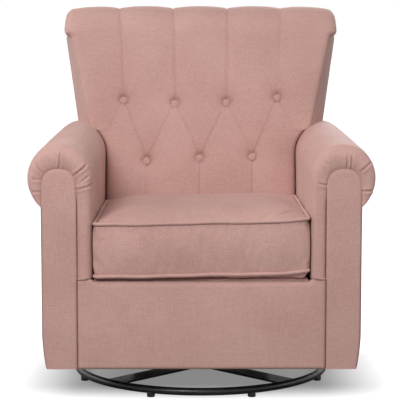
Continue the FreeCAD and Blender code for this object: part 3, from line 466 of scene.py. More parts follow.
# The cover from the panel's edge out over the front, back along the arm and in at the rear.
front_y = panel_high.y - 0.0062
band = np.linalg.norm(section - matched, axis=1)
bulge = np.clip(band * 0.62, 0.004, 0.020)[:, None]
dip = np.clip(band * 0.45, 0.002, 0.0105)[:, None]
lap = np.linspace(0, math.pi, 34)[None, :]
lap_share = (1 - np.cos(lap)) / 2
lap_y = front_y + np.where(lap <= math.pi / 2, bulge, dip) * (1 - np.sin(lap))
lap_xz = section[:, None] + (matched - section)[:, None] * lap_share[..., None]
rear_y = outside_back(section[:, 1])[:, None]
run = np.linspace(0, 1, 64)[None, :] ** 1.25
back_round = 0.007
run_y = front_y + bulge + (rear_y - back_round - front_y - bulge) * run
spine = np.stack([np.full(len(section), panel_x), np.clip(section[:, 1], 0.11, roll_z)], -1)
cap = np.linspace(0, 1, 14)[None, 1:]
cap_turn = np.clip(cap / 0.3, 0, 1)
cap_in = back_round * (1 - np.cos(cap_turn * math.pi / 2)) * 0.9
to_spine = spine - section
gap = np.linalg.norm(to_spine, axis=1)[:, None]
cap_flat = np.clip((cap - 0.3) / 0.7, 0, 1)
cap_share = np.minimum(cap_in / gap + cap_flat * (1 - cap_in / gap), 1)
cap_xz = section[:, None] + to_spine[:, None] * cap_share[..., None]
cap_y = rear_y - back_round + back_round * np.sin(cap_turn * math.pi / 2)
cap_y = cap_y + (outside_back(cap_xz[..., 1]) - rear_y) + 0.002 * cap_flat ** 0.5

run_xz = np.repeat(section[:, None], run.shape[1], 1)
grid_xz = np.concatenate([lap_xz[:, ::-1], run_xz[:, 1:], cap_xz], 1)
grid_y = np.concatenate([lap_y[:, ::-1], run_y[:, 1:], cap_y], 1)
arm_grid = np.stack([grid_xz[..., 0], grid_y, grid_xz[..., 1]], -1)


def normals_of(grid):
    """Unit normals of a grid of points."""
    turned = np.cross(np.gradient(grid, axis=1), np.gradient(grid, axis=0))
    return turned / np.maximum(np.linalg.norm(turned, axis=-1, keepdims=True), 1e-9)


def make_arm(name, flip, folds):
    """One arm cover; flip is 1 for the sitter's left and -1 for the right."""
    grid = arm_grid.copy()
    out = normals_of(grid)
    centre = np.array([roll_x, 0.1, roll_z - 0.05])
    sample = np.s_[first_scroll:first_inner, 40:80]
    if np.mean(np.sum(out[sample] * (grid[sample] - centre), -1)) < 0:
        out = -out
    height = grid[..., 2].copy()
    depth = grid[..., 1] - front_y
    push = np.zeros(height.shape)
    # the scroll is full, climbs to the rear, and the side is pulled in under it
    on_scroll = np.clip((height - tuck_z) / 0.05, 0, 1)
    outer_part = np.clip((grid[..., 0] - arm_low.x - 0.012) / 0.03, 0, 1)
    push += (ROLL_PUFF + 0.0020 * bump_at(depth - 0.05, 0.07)) * on_scroll * outer_part
    climb = roll_climb(grid[..., 1]) * np.clip((height - deck_z - 0.05) / (roll_z - deck_z), 0, 1)
    tuck_line = np.abs(np.arange(len(section)) - first_scroll)[:, None] * 0.0045
    push -= SIDE_TUCK * bump_at(tuck_line, 0.010) * (depth > 0.004)
    inner = np.clip((np.arange(len(section)) - first_inner) / 12, 0, 1)[:, None]
    push -= 0.0004 * (inner * (height > deck_z + 0.002))
    # the gathers stop at the panel's edge, where the cloth goes in behind it
    past_edge = np.clip((np.arange(grid.shape[1]) - 2) / 7, 0, 1)[None, :]
    front = np.clip(1 - depth / 0.045, 0, 1) * past_edge
    for (x0, z0), (x1, z1), fold_depth, width in folds:
        line_at, ends, side = crease(grid[..., ::2], (x0, z0), (x1, z1), width)
        push -= fold_depth * line_at * front
        push += 0.45 * fold_depth * ends * front * (bump_at(side - 2.4 * width, 1.6 * width)
                                                   + bump_at(side + 2.4 * width, 1.6 * width))
    grid = grid + out * push[..., None]
    grid[..., 2] += climb * np.clip(depth / 0.02, 0, 1)
    grid[..., 0] = np.where(grid[..., 0] > 0.3, tapered(grid[..., 0], grid[..., 2]), grid[..., 0])
    grid[..., 2] = np.maximum(grid[..., 2], bottom)
    grid[..., 0] *= flip
    piece = surface(name, grid if flip > 0 else grid[::-1])
    return upholster(piece, 0.75, "chair", "arm_pad_left" if flip > 0 else "arm_pad_right")


# Each gather: where it starts and ends in X and Z, its depth and its width.
folds_sitter_right = [
    ((0.328, 0.562), (0.324, 0.606), 0.0050, 0.0022),
    ((0.299, 0.546), (0.262, 0.576), 0.0050, 0.0022),
    ((0.276, 0.537), (0.258, 0.550), 0.0022, 0.0022),
    ((0.291, 0.516), (0.246, 0.529), 0.0040, 0.0020),
    ((0.372, 0.560), (0.388, 0.583), 0.0026, 0.0022),
    ((0.374, 0.541), (0.392, 0.541), 0.0014, 0.0024),
    ((0.373, 0.512), (0.392, 0.512), 0.0016, 0.0022)]
folds_sitter_left = [
    ((0.337, 0.562), (0.337, 0.604), 0.0034, 0.0022),
    ((0.347, 0.562), (0.346, 0.600), 0.0030, 0.0022),
    ((0.372, 0.563), (0.394, 0.582), 0.0034, 0.0022),
    ((0.372, 0.513), (0.398, 0.515), 0.0030, 0.0022),
    ((0.296, 0.526), (0.268, 0.531), 0.0026, 0.0022),
    ((0.291, 0.576), (0.284, 0.582), 0.0014, 0.0030)]
make_arm("arm_cover_right", -1, folds_sitter_right)
make_arm("arm_cover_left", 1, folds_sitter_left)


# ---- Arm front panels
# A shaped board wrapped in thin foam and cloth, nailed over the ends of the arm
# covers so that it sits in among their gathers.

panel_outline = np.vstack([
    spaced(line((panel_high.x, panel_low.z), (panel_high.x, tuck_z), 2), 70),
    spaced(arch_left, 60)[1:], spaced(arch_right, 60)[1:],
    spaced(line((panel_low.x, roll_z - 0.05), (panel_low.x, panel_low.z), 2), 80)[1:]])
panel_spine = np.stack([np.full(len(panel_outline), panel_x),
                        np.clip(panel_outline[:, 1], panel_low.z, panel_high.z - shoulder + 0.006)], -1)
inward = np.r_[0, np.linspace(0, 1, 34) ** 1.5]
panel_share = inward[None, :, None]
face_xz = panel_outline[:, None] + (panel_spine - panel_outline)[:, None] * panel_share
far = np.linalg.norm((panel_spine - panel_outline), axis=1)[:, None] * inward[None, :]
edge = np.clip(far / 0.010, 0, 1)
face_y = panel_high.y - 0.0015 - 0.0048 * np.sqrt(1 - (1 - edge) ** 2)
face_y -= 0.0012 * np.clip(far / 0.041, 0, 1) ** 0.7
face_y[:, 0] = panel_high.y + 0.007
rim_in = panel_spine - panel_outline
face_xz[:, 0] += 0.0022 * rim_in / np.linalg.norm(rim_in, axis=1, keepdims=True)
for flip, side in ((1, "left"), (-1, "right")):
    points = np.stack([flip * tapered(face_xz[..., 0], face_xz[..., 1]), face_y, face_xz[..., 1]], -1)
    panel = surface("arm_panel_" + side, points if flip > 0 else points[::-1])
    upholster(panel, 0.9, "chair", "arm_front_panel_" + side)


# ---- Apron
# Cloth pulled over a thin pad across the front rail and stapled underneath,
# between the two arm panels.

apron_low, apron_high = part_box("front_apron")
APRON_TOP_ROUND = 0.012
APRON_LOW_ROUND = 0.006
apron_half = apron_high.x
grid_u, grid_v = np.meshgrid(np.linspace(-1, 1, 141), np.linspace(0, 1, 76))
under_cushion = np.clip((0.258 - np.abs(grid_u) * apron_half) / 0.006, 0, 1)
apron_top = apron_high.z + 0.0005 - 0.006 * under_cushion
apron_z = apron_low.z + grid_v * (apron_top - apron_low.z)
top_gap = apron_top - apron_z
low_gap = apron_z - apron_low.z
top_turn = 1 - np.sqrt(1 - (1 - np.clip(top_gap / APRON_TOP_ROUND, 0, 1)) ** 2)
low_turn = 1 - np.sqrt(1 - (1 - np.clip(low_gap / APRON_LOW_ROUND, 0, 1)) ** 2)
back_off = (0.003 + 0.0085 * under_cushion) * top_turn + APRON_LOW_ROUND * low_turn
side_gap = (1 - np.abs(grid_u)) * apron_half
back_off += 0.0016 * (1 - np.clip(side_gap / 0.004, 0, 1)) ** 2
billow = 0.0022 * np.sin(grid_v * math.pi) * (1 - grid_u ** 4)
apron = surface("front_apron_cover", np.stack([
    grid_u * (apron_half + 0.0006), apron_low.y + 0.0022 + back_off - billow, apron_z], -1))
thicken(apron, 0.002)
upholster(apron, 0.85, "chair", "front_apron")


# ---- Back
# One panel of cloth over deep foam on the leaning back, button-tufted through
# to the frame in two rows, with folded pleats between the buttons and up over
# the crest, which rolls over behind and is gathered into an ear at each end.

back_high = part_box("back_pad")[1]
border_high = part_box("back_side_border_left")[1]
FACE_FOOT = 0.079
PANEL_FOOT = 0.300
SCROLL = 0.042
CREASE_Z = border_high.z
scroll_y, scroll_z = back_high.y - SCROLL, back_high.z - SCROLL
crest = (back_high.z - CREASE_Z) / (1 - math.sin(LEAN_TURN))
crest_y = FACE_FOOT + (CREASE_Z - KNEE) * LEAN + crest * math.cos(LEAN_TURN)
crest_z = back_high.z - crest


def inside_back(z):
    """Where the leaning front of the back pad is, along Y, at a height."""
    return FACE_FOOT + (z - KNEE) * LEAN


# The back's side view, from the deck up the face, over the crest and round its scroll.
STEP = 0.0028
profile = np.vstack([
    line((inside_back(PANEL_FOOT), PANEL_FOOT), (inside_back(CREASE_Z), CREASE_Z), 3),
    arc(crest_y, crest_z, crest, 180 - LEAN_DEGREES, 90, 60)[1:],
    line((crest_y, back_high.z), (scroll_y, back_high.z), 3)[1:],
    arc(scroll_y, scroll_z, SCROLL, 90, -100, 60)[1:]])
length = np.linalg.norm(np.diff(profile, axis=0), axis=1).sum()
profile = spaced(profile, int(length / STEP))
tangent = np.gradient(profile, axis=0)
tangent /= np.linalg.norm(tangent, axis=1, keepdims=True)
profile_out = np.stack([-tangent[:, 1], tangent[:, 0]], -1)
travel = np.arange(len(profile)) * STEP
on_lean = (profile[:, 1] < CREASE_Z) & (profile[:, 0] < inside_back(CREASE_Z) + 0.001)
crease_travel = travel[on_lean][-1]

seam_low, seam_low_z = 0.296, 0.622
seam_high = 0.352
outer_low, outer_low_z = 0.337, 0.628
outer_high = border_high.x


def seam_half(z):
    """Half width of the tufted panel at a height above the arms."""
    return seam_low + (z - seam_low_z) / (CREASE_Z - seam_low_z) * (seam_high - seam_low)


def outer_half(z):
    """Half width of the back's rear edge at a height above the arms."""
    return outer_low + (z - outer_low_z) / (CREASE_Z - outer_low_z) * (outer_high - outer_low)


def beside_roll(z):
    """Half width left between the arms, following their scrolls where the back meets them."""
    gap_radius = roll + 0.0015
    centre = roll_z + roll_climb(0.16)
    inside = np.clip(gap_radius ** 2 - (z - centre) ** 2, 0, None)
    return np.where(z < centre, roll_x - gap_radius, roll_x - np.sqrt(inside))


z_on = profile[:, 1]
half_width = np.where(z_on < seam_low_z, np.minimum(beside_roll(z_on), seam_low), seam_half(z_on))
past = travel - crease_travel
ear = np.clip((past + 0.004) / 0.014, 0, 1)
ear = ear * ear * (3 - 2 * ear)
crest_half = back_high.x - 0.0085
crest_width = crest_half - 0.004 * bump_at(past, 0.02)
half_width = np.where(past > -0.004, seam_half(CREASE_Z) * (1 - ear) + crest_width * ear, half_width)

BUTTONS = [(-0.2080, 0.7010), (-0.0697, 0.6925), (0.0692, 0.6945), (0.2062, 0.7075),
           (-0.1450, 0.5400), (-0.0027, 0.5475), (0.1390, 0.5510)]


def travel_at(z):
    """Distance up the face of the back to a height."""
    return (z - PANEL_FOOT) / math.cos(LEAN_TURN)


def back_height(x, s):
    """How far the cloth stands off the plain face: puffed between buttons and
    pleats, drawn in at them."""
    spots = [(bx, travel_at(bz)) for bx, bz in BUTTONS]
    here = np.stack([x, s], -1)
    crest_end = crease_travel + 0.20
    pleats = [(spots[i], (spots[i][0] * 1.09, crest_end), strength)
              for i, strength in ((0, 1.0), (1, 1.1), (2, 1.1), (3, 0.7))]
    pleats += [(spots[a], spots[b], 0.9) for a, b in ((0, 4), (1, 4), (1, 5), (2, 5), (2, 6), (3, 6))]
    pleats += [(spots[0], (-0.262, travel_at(0.590)), 0.8), (spots[3], (0.262, travel_at(0.590)), 0.8)]
    pleats += [(spots[i], (spots[i][0], travel_at(0.36)), 0.8) for i in (4, 5, 6)]
    nearest = np.full(x.shape, 1.0)
    rise = np.zeros(x.shape)
    folded = np.zeros(x.shape)
    for start, end, strength in pleats:
        start, end = np.array(start), np.array(end)
        along_pleat = end - start
        size = np.linalg.norm(along_pleat)
        offset = here - start
        part = np.clip(offset @ along_pleat / size ** 2, 0, 1)
        away = np.linalg.norm(offset - part[..., None] * along_pleat, axis=-1)
        nearest = np.minimum(nearest, away)
        side = (offset[..., 0] * along_pleat[1] - offset[..., 1] * along_pleat[0]) / size
        inside = np.where((part > 0) & (part < 1), 1.0, bump_at(away, 0.002))
        depth = 0.0026 * bump_at(away, 0.0026) + 0.0014 * bump_at(away, 0.010)
        folded = np.maximum(folded, strength * depth)
        rise += strength * 0.0008 * bump_at(side - 0.0045, 0.003) * inside
    for spot in spots:
        away = np.hypot(x - spot[0], s - spot[1])
        nearest = np.minimum(nearest, away)
        rise -= 0.0150 * np.exp(-(away / 0.023) ** 1.35) + 0.0045 * np.exp(-(away / 0.0145) ** 6)
    rise += 0.0042 * (1 - bump_at(nearest, 0.034)) - folded
    return rise


columns = int(2 * back_high.x / STEP)
spread = np.linspace(-1, 1, columns)
x_grid = half_width[:, None] * spread[None, :]
s_grid = np.repeat(travel[:, None], columns, 1)
turn_radius = np.where(past > 0, 0.019, 0.013)[:, None]
fall = eased(spread[None, :], half_width[:, None], turn_radius)
droop = 0.0035 * np.clip((np.abs(x_grid) - 0.25) / 0.08, 0, 1)
droop += 0.008 * np.clip((np.abs(x_grid) - 0.300) / 0.07, 0, 1) ** 2
fall = fall + droop * np.clip(past / 0.05, 0, 1)[:, None]
stand = back_height(x_grid, s_grid)
fade_rear = np.clip(1 - (s_grid - crease_travel - 0.19) / 0.05, 0, 1)
stand = stand * fade_rear * np.clip((half_width[:, None] - np.abs(x_grid)) / 0.02, 0, 1)
crown = 0.004 * (1 - spread[None, :] ** 2) * np.clip((travel_at(0.86) - s_grid) / 0.10, 0, 1)
lift = stand + crown - fall
# the turned-in edges: a short lap on the panel, a gathered end on the crest
EAR_FROM = 0.004
depth_in = np.where(past > EAR_FROM, 0.036, 0.010)[:, None]
lap_share = np.linspace(0, 1, 14)[None, 1:]
pleat_depth = np.where(past > EAR_FROM, 0.0022, 0.0)[:, None]
pleat_wave = pleat_depth * np.sin(travel[:, None] * 2 * math.pi / 0.017)
edge_in = np.where(past[:, None] > EAR_FROM, 0.004 + 0.008 * lap_share, 0.006) * lap_share
edge_x = half_width[:, None] - edge_in + pleat_wave * np.sin(lap_share * math.pi)
all_x = np.concatenate([-edge_x[:, ::-1], x_grid, edge_x], 1)
rim = profile - profile_out * fall[:, :1]
ear_y = np.clip(profile[:, 0], inside_back(CREASE_Z) + 0.014, float(outside_back(CREASE_Z)) - 0.008)
ear_foot = np.stack([ear_y, np.full(len(profile), CREASE_Z - 0.006)], -1)
in_yz = np.where((past > EAR_FROM)[:, None, None],
                 rim[:, None] + (ear_foot - rim)[:, None] * lap_share[..., None],
                 rim[:, None] - profile_out[:, None] * (depth_in * lap_share)[..., None])
yz = profile[:, None] + profile_out[:, None] * lift[..., None]
yz = np.concatenate([in_yz[:, ::-1], yz, in_yz], 1)
back = surface("back_cover", np.stack([all_x, yz[..., 0], yz[..., 1]], -1))
upholster(back, 0.7, "chair", "back_pad")


# ---- Buttons
# Seven metal button shells covered in the same cloth, drawn into the tufts with
# twine and tied off behind.

BUTTON_RADIUS = 0.0112
# the dome's share of the radius and its height, from the shank side to its middle
dome = np.array([(0.55, -0.0035), (0.86, -0.0030), (0.985, -0.0014), (1.0, 0.0002),
                 (0.975, 0.0018), (0.90, 0.0032), (0.76, 0.0044), (0.56, 0.0053),
                 (0.32, 0.0058), (0.12, 0.0060), (0.0, 0.0060)])
around = np.linspace(0, 2 * math.pi, 36, endpoint=False)
radius = dome[:, 0][:, None] * BUTTON_RADIUS
flat_x = radius * np.cos(around)
flat_up = radius * np.sin(around)
up_y, up_z = math.sin(LEAN_TURN), math.cos(LEAN_TURN)
button_parts = []
for number, (button_x, button_z) in enumerate(BUTTONS):
    depth = float(back_height(np.array([button_x]), np.array([travel_at(button_z)]))[0]) + 0.0040
    stand = dome[:, 1][:, None] + depth + 0.0022 + 0.004 * (1 - (button_x / back_high.x) ** 2)
    button_parts.append(surface("button_%d" % number, np.stack([
        button_x + flat_x, inside_back(button_z) + flat_up * up_y - stand * up_z,
        button_z + flat_up * up_z + stand * up_y], -1), round_columns=True))
bpy.ops.object.select_all(action="DESELECT")
for part in button_parts:
    part.select_set(True)
bpy.context.view_layer.objects.active = button_parts[0]
bpy.ops.object.join()
buttons = bpy.context.view_layer.objects.active
buttons.name = "tuft_buttons_covered"
upholster(buttons, 0.9, "chair", "tuft_buttons")


# ---- Back side borders
# A plain boxing strip each side, from the tufted panel's seam round to the rear
# edge of the back, drawn tight over the stile.

z_row = np.linspace(0.560, CREASE_Z + 0.010, 90)[:, None]
t = np.linspace(0, 1, 40)[None, :]
z_seam = np.maximum(z_row, seam_low_z)
front_x = np.where(z_row < seam_low_z, beside_roll(z_row), seam_half(z_seam)) + 0.0005
rear_x = np.where(z_row < outer_low_z,
                  np.minimum(beside_roll(z_row) + 0.05, outer_low), outer_half(z_row))
front_yy = inside_back(z_row) + 0.0115
rear_yy = outside_back(z_row) - 0.002
border_x = front_x + (rear_x - front_x) * t ** 0.85 + 0.0035 * np.sin(t * math.pi)
border_y = front_yy + (rear_yy - front_yy) * t
border_x -= 0.006 * (bump_at(t, 0.035) + bump_at(1 - t, 0.035))
for flip, side in ((1, "left"), (-1, "right")):
    points = np.stack([border_x * flip, border_y, z_row + 0 * border_x], -1)
    border = surface("back_border_" + side, points if flip > 0 else points[::-1])
    upholster(border, 0.8, "chair", "back_side_border_" + side)


# ---- Outside back
# Plain cloth over board, from under the crest down to the hem, blind-tacked
# along the top and sides.

shell_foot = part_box("outside_back")[0].z
# as wide as the seat frame at first, then from arm to arm, and above the arms as wide as the back
SEAT_FRAME_TOP, SEAT_FRAME_HALF, UNDER_CREST = 0.306, 0.2895, 0.868
shell_z = np.r_[np.linspace(shell_foot, SEAT_FRAME_TOP - 0.0005, 70),
                np.linspace(SEAT_FRAME_TOP + 0.0005, UNDER_CREST, 170)]
between_arms = np.minimum(beside_roll(shell_z), outer_low)
above_frame = np.where(shell_z < outer_low_z, between_arms, outer_half(shell_z))
width = np.where(shell_z < SEAT_FRAME_TOP, SEAT_FRAME_HALF, above_frame)[:, None]
spread = np.linspace(-1, 1, 121)[None, :]
side_gap = (1 - np.abs(spread)) * width
hem_in = 0.004 * (1 - np.clip((shell_z - shell_foot) / 0.006, 0, 1)) ** 2
shell_y = outside_back(shell_z)[:, None] - 0.0015 - hem_in[:, None]
shell_y = shell_y - 0.006 * (1 - np.clip(side_gap / 0.008, 0, 1)) ** 2 + 0.0012 * (1 - spread ** 2)
shell = surface("outside_back_cover", np.stack([
    width * spread, shell_y, np.repeat(shell_z[:, None], 121, 1)], -1)[:, ::-1])
thicken(shell, 0.002)
upholster(shell, 0.9, "chair", "outside_back")


# ---- Seat cushion
# Loose box cushion: foam in a fibre wrap inside a boxed cover, overfilled so that
# its panels swell between the seams, its zip in the rear boxing.

cushion_low, cushion_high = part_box("cushion_cover")
welt_low, welt_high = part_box("cushion_welts")
WELT = 0.0045
upper_welt = welt_high.z - WELT
lower_welt = welt_low.z + WELT
cushion_front = panel_low.y + 0.0030
cushion_half = cushion_high.x + 0.0006
AROUND = 240
BASE_RINGS, SIDE_RINGS, CROWN_RINGS = 24, 26, 30
LOWER_SEAM = BASE_RINGS + 1
UPPER_SEAM = LOWER_SEAM + SIDE_RINGS - 1


def cushion_rear(z):
    """Rear face of the cushion along Y at a height, clear of the back."""
    return inside_back(z) - 0.0078


def cushion_outline(z, inset, count=AROUND):
    """Plan outline at a height: round front corners, tighter rear ones."""
    side, front = cushion_half - inset, cushion_front + inset
    rear = cushion_rear(z) - inset
    corner, tight = 0.0125 - inset, 0.018
    path = [line((0, front), (side - corner, front), 2),
            arc(side - corner, front + corner, corner, -90, 0, 16)[1:],
            arc(side - tight, rear - tight, tight, 0, 90, 10)]
    right = np.vstack(path)
    whole = np.vstack([right, [(0, rear)], (right * [-1, 1])[::-1]])
    return spaced(whole, count + 1)[:-1]


def seam_sway(x, z):
    """How the cushion's seams climb a little towards the sitter's left, the upper more."""
    upper = (z - lower_welt) / (upper_welt - lower_welt)
    climb = 0.0045 * np.clip((x - 0.13) / 0.11, 0, 1) ** 2
    return 0.0025 + 0.0045 * x / cushion_half + climb + 0.0045 * upper


def cushion_rings(crown):
    """The cushion's cover as rings from the middle of its base to the middle of its crown."""
    rings = []
    outline = cushion_outline(lower_welt, 0.010)
    middle = outline.mean(0)
    for share in np.linspace(0.02, 1.0, BASE_RINGS):
        ring = middle + (outline - middle) * share
        rings.append(np.c_[ring, np.full(len(ring), cushion_low.z + 0.0016)])
    rings.append(np.c_[cushion_outline(lower_welt, 0.005), np.full(AROUND, cushion_low.z + 0.0028)])
    for z in np.linspace(lower_welt, upper_welt, SIDE_RINGS):
        swell = 0.0030 * math.sin((z - lower_welt) / (upper_welt - lower_welt) * math.pi)
        ring = np.c_[cushion_outline(z, 0.0018 - swell * 0.5), np.full(AROUND, z)]
        ring[:, 2] += seam_sway(ring[:, 0], z)
        rings.append(ring)
    outline = cushion_outline(upper_welt, 0.003)
    middle = outline.mean(0)
    for share in np.linspace(0.985, 0.02, CROWN_RINGS):
        ring = middle + (outline - middle) * share
        rise = upper_welt + crown * (1 - share ** 4.0)
        ring = np.c_[ring, np.full(len(ring), rise)]
        ring[:, 2] += seam_sway(ring[:, 0], upper_welt) * share ** 2
        rings.append(ring)
    return np.array(rings)


def close_ends(piece, rings):
    """Close the first and last ring of a surface with a fan."""
    mesh = piece.data
    count = rings.shape[1]
    work = bmesh.new()
    work.from_mesh(mesh)
    for first in (0, (rings.shape[0] - 1) * count):
        work.verts.ensure_lookup_table()
        ring = [work.verts[first + i] for i in range(count)]
        centre = work.verts.new(sum((v.co for v in ring), Vector()) / count)
        for i in range(count):
            work.faces.new((ring[i], ring[(i + 1) % count], centre))
    bmesh.ops.recalc_face_normals(work, faces=work.faces)
    for face in work.faces:
        face.smooth = True
    work.to_mesh(mesh)
    work.free()


def points_of(mesh):
    """A mesh's points as an array."""
    flat = np.empty(len(mesh.vertices) * 3)
    mesh.vertices.foreach_get("co", flat)
    return flat.reshape(-1, 3)


def apply(piece, modifier):
    """Apply one modifier."""
    bpy.context.view_layer.objects.active = piece
    bpy.ops.object.modifier_apply(modifier=modifier.name)


def inflate(piece, seams, cap):
    """Swell a cover by a cloth simulation: its seams stay put, no point moves past the cap."""
    remesh = piece.modifiers.new("Remesh", "REMESH")
    remesh.mode = "VOXEL"
    remesh.voxel_size = 0.006
    apply(piece, remesh)
    start = points_of(piece.data)
    near = KDTree(len(seams))
    for number, place in enumerate(seams):
        near.insert(place, number)
    near.balance()
    held = [i for i, place in enumerate(start) if near.find(place)[2] < 0.0055]
    piece.vertex_groups.new(name="seams").add(held, 1.0, "REPLACE")
    cloth = piece.modifiers.new("Cloth", "CLOTH")
    cloth.settings.vertex_group_mass = "seams"
    cloth.settings.use_pressure = True
    cloth.settings.uniform_pressure_force = 4
    cloth.settings.effector_weights.gravity = 0
    cloth.settings.shrink_min = -0.012
    last_frame = 20
    cloth.point_cache.frame_start = 1
    cloth.point_cache.frame_end = last_frame
    for number in range(1, last_frame + 1):
        bpy.context.scene.frame_set(number)
    posed = piece.evaluated_get(bpy.context.evaluated_depsgraph_get())
    moved = points_of(posed.to_mesh()) - start
    posed.to_mesh_clear()
    piece.modifiers.remove(cloth)
    bpy.context.scene.frame_set(1)
    far = np.linalg.norm(moved, axis=1, keepdims=True)
    return start + moved * np.minimum(1, cap / np.maximum(far, 1e-9))


# How far the swollen cover may stand off: at its sides, front and rear, and over its crown.
SIDE_ROOM, FRONT_ROOM, REAR_ROOM = 0.0036, 0.0065, 0.003
CROWN_FROM, CROWN_ROOM = 0.460, 0.012

rings = cushion_rings(0.026)
cushion = surface("cushion_cover_soft", rings, round_columns=True)
close_ends(cushion, rings)
swollen = inflate(cushion, np.vstack([rings[LOWER_SEAM], rings[UPPER_SEAM]]), 0.024)
x, y, z = swollen.T
level_up = np.clip((z - lower_welt) / (upper_welt - lower_welt), 0, 1)
near_side = np.clip((np.abs(x) - 0.20) / 0.05, 0, 1)
x = x + np.sign(x) * 0.0065 * near_side * np.sin(level_up * math.pi) ** 0.6
x = np.clip(x, -cushion_half - SIDE_ROOM, cushion_half + SIDE_ROOM)
y = np.clip(y, cushion_front - FRONT_ROOM, cushion_rear(z) + REAR_ROOM)
over = np.maximum(z - CROWN_FROM, 0)
z = np.maximum(z - over + CROWN_ROOM * (1 - np.exp(-over / CROWN_ROOM)), cushion_low.z + 0.0005)
cushion.data.vertices.foreach_set("co", np.stack([x, y, z], -1).ravel())
smooth = cushion.modifiers.new("Smooth", "SUBSURF")
smooth.levels = 1
apply(cushion, smooth)
cushion.data.polygons.foreach_set("use_smooth", [True] * len(cushion.data.polygons))
cushion.data.update()
upholster(cushion, 0.8, "seat_cushion", "cushion_foam", "cushion_cover", "cushion_zip_band")


# ---- Piping
# Two lengths of piping: bias-cut cloth sewn round a soft cord, each caught in a
# seam of the cushion's cover, above and below the boxing, all the way round.

def piping(name, z, radius):
    """Round cord along the cushion's outline, with the small waver of a sewn seam."""
    path = cushion_outline(z, 0.0, 480)
    turn = np.linspace(0, 2 * math.pi, 480, endpoint=False)
    wave = 0.0007 * np.sin(turn * 7 + 1) + 0.0005 * np.sin(turn * 17)
    centre = np.c_[path, z + wave + seam_sway(path[:, 0], z)]
    forward = np.roll(centre, -1, 0) - np.roll(centre, 1, 0)
    forward /= np.linalg.norm(forward, axis=1, keepdims=True)
    out = np.cross(forward, [0, 0, 1.0])
    out /= np.linalg.norm(out, axis=1, keepdims=True)
    rise = np.cross(out, forward)
    around = np.linspace(0, 2 * math.pi, 14, endpoint=False)[None, :, None]
    off = np.cos(around) * out[:, None] + np.sin(around) * rise[:, None]
    return surface(name, centre[:, None] + radius * off, True, True)


upper_piping = piping("piping_upper", upper_welt, 0.0040)
lower_piping = piping("piping_lower", lower_welt, 0.0044)
for length_of_piping in (upper_piping, lower_piping):
    length_of_piping.data.materials.append(COVER)
    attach(length_of_piping, "seat_cushion")
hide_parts("cushion_welts")


# ---- Studio
# A pale floor with a shadow painted into its glow round the chair, and a white surround. A broad key
# lamp stands at the upper left in front, with weaker ones above, at the right, at the left side and
# behind.

def studio_floor():
    """Matte pale floor, white to the camera away from the chair. Near the chair its glow is cut as a
    painted shadow, laid over the real one.
    """
    material, tree, shader = finish_nodes("studio_floor")
    shader.inputs["Base Color"].default_value = (0.34, 0.34, 0.34, 1)
    shader.inputs["Roughness"].default_value = 0.9
    shader.inputs["Specular IOR Level"].default_value = 0.0
    place = tree.nodes.new("ShaderNodeTexCoord")
    parts = tree.nodes.new("ShaderNodeSeparateXYZ")
    tree.links.new(place.outputs["Object"], parts.inputs[0])

    def painted_shadow_reach(axis, start, end):
        """Reach of the painted shadow along one axis: 1 near the chair, 0 well away from it."""
        node = tree.nodes.new("ShaderNodeMapRange")
        node.interpolation_type = "SMOOTHSTEP"
        node.inputs["From Min"].default_value = start
        node.inputs["From Max"].default_value = end
        node.inputs["To Min"].default_value = 1.0
        node.inputs["To Max"].default_value = 0.0
        tree.links.new(maths(tree, "ABSOLUTE", parts.outputs[axis]), node.inputs["Value"])
        return node.outputs["Result"]

    # painted shadow: the glow the camera sees is cut by up to 0.76 round the chair, a soft contact
    # shadow drawn in
    painted_shadow = maths(tree, "MULTIPLY", painted_shadow_reach("X", 0.28, 0.55), painted_shadow_reach("Y", 0.16, 0.37))
    glow_past_painted_shadow = maths(tree, "SUBTRACT", 1.0, maths(tree, "MULTIPLY", painted_shadow, 0.76))
    rays = tree.nodes.new("ShaderNodeLightPath")
    glow = maths(tree, "MULTIPLY", rays.outputs["Is Camera Ray"], glow_past_painted_shadow)
    shader.inputs["Emission Color"].default_value = (1, 1, 1, 1)
    tree.links.new(glow, shader.inputs["Emission Strength"])
    return material


floor = surface("studio_floor", np.array([[(-30, -12, 0), (30, -12, 0)],
                                          [(-30, 60, 0), (30, 60, 0)]], float))
floor.data.materials.append(studio_floor())

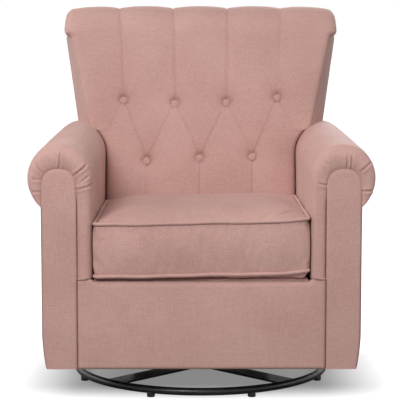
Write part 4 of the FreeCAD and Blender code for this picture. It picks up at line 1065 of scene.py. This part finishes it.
world = bpy.data.worlds.new("surround")
bpy.context.scene.world = world
world.use_nodes = True
tree = world.node_tree
background = tree.nodes["Background"]
background.inputs["Color"].default_value = (1, 1, 1, 1)
rays = tree.nodes.new("ShaderNodeLightPath")
seen = maths(tree, "MAXIMUM", rays.outputs["Is Camera Ray"], rays.outputs["Is Glossy Ray"])
seen = maths(tree, "MAXIMUM", seen, rays.outputs["Is Transmission Ray"])
strength = tree.nodes.new("ShaderNodeMapRange")
strength.inputs["To Min"].default_value = 0.24
strength.inputs["To Max"].default_value = 1.0
tree.links.new(seen, strength.inputs["Value"])
tree.links.new(strength.outputs["Result"], background.inputs["Strength"])


def soft_box(name, place, aim, size, power):
    """Large soft rectangular lamp."""
    lamp = bpy.data.lights.new(name, "AREA")
    lamp.shape = "RECTANGLE"
    lamp.size, lamp.size_y = size
    lamp.energy = power
    holder = bpy.data.objects.new(name, lamp)
    holder.location = place
    holder.rotation_mode = "QUATERNION"
    holder.rotation_quaternion = (Vector(aim) - Vector(place)).to_track_quat("-Z", "Y")
    bpy.context.scene.collection.objects.link(holder)


soft_box("key_light", (-1.0, -2.95, 2.05), (0, -0.1, 0.6), (1.2, 1.1), 64)
soft_box("top_light", (-0.2, -1.1, 3.0), (0, -0.1, 0.5), (1.4, 1.2), 12)
soft_box("fill_light", (2.8, -0.9, 1.5), (0, 0, 0.7), (1.4, 1.4), 19)
soft_box("side_light", (-2.6, 0.5, 1.8), (0, 0, 0.8), (1.0, 1.0), 27)
soft_box("rear_light", (0.9, 2.9, 1.9), (0, 0.1, 0.6), (1.4, 1.2), 50)

camera = bpy.data.objects.new("camera", bpy.data.cameras.new("camera"))
bpy.context.scene.collection.objects.link(camera)
camera.data.sensor_width = 36
camera.data.lens = 133.2
camera.location = (-0.0136, -3.82, 0.863)
camera.rotation_euler = (math.radians(90 - 6.2), 0, math.radians(-0.17))
camera.data.clip_end = 200
bpy.context.scene.camera = camera

bpy.context.scene.view_settings.view_transform = "Standard"
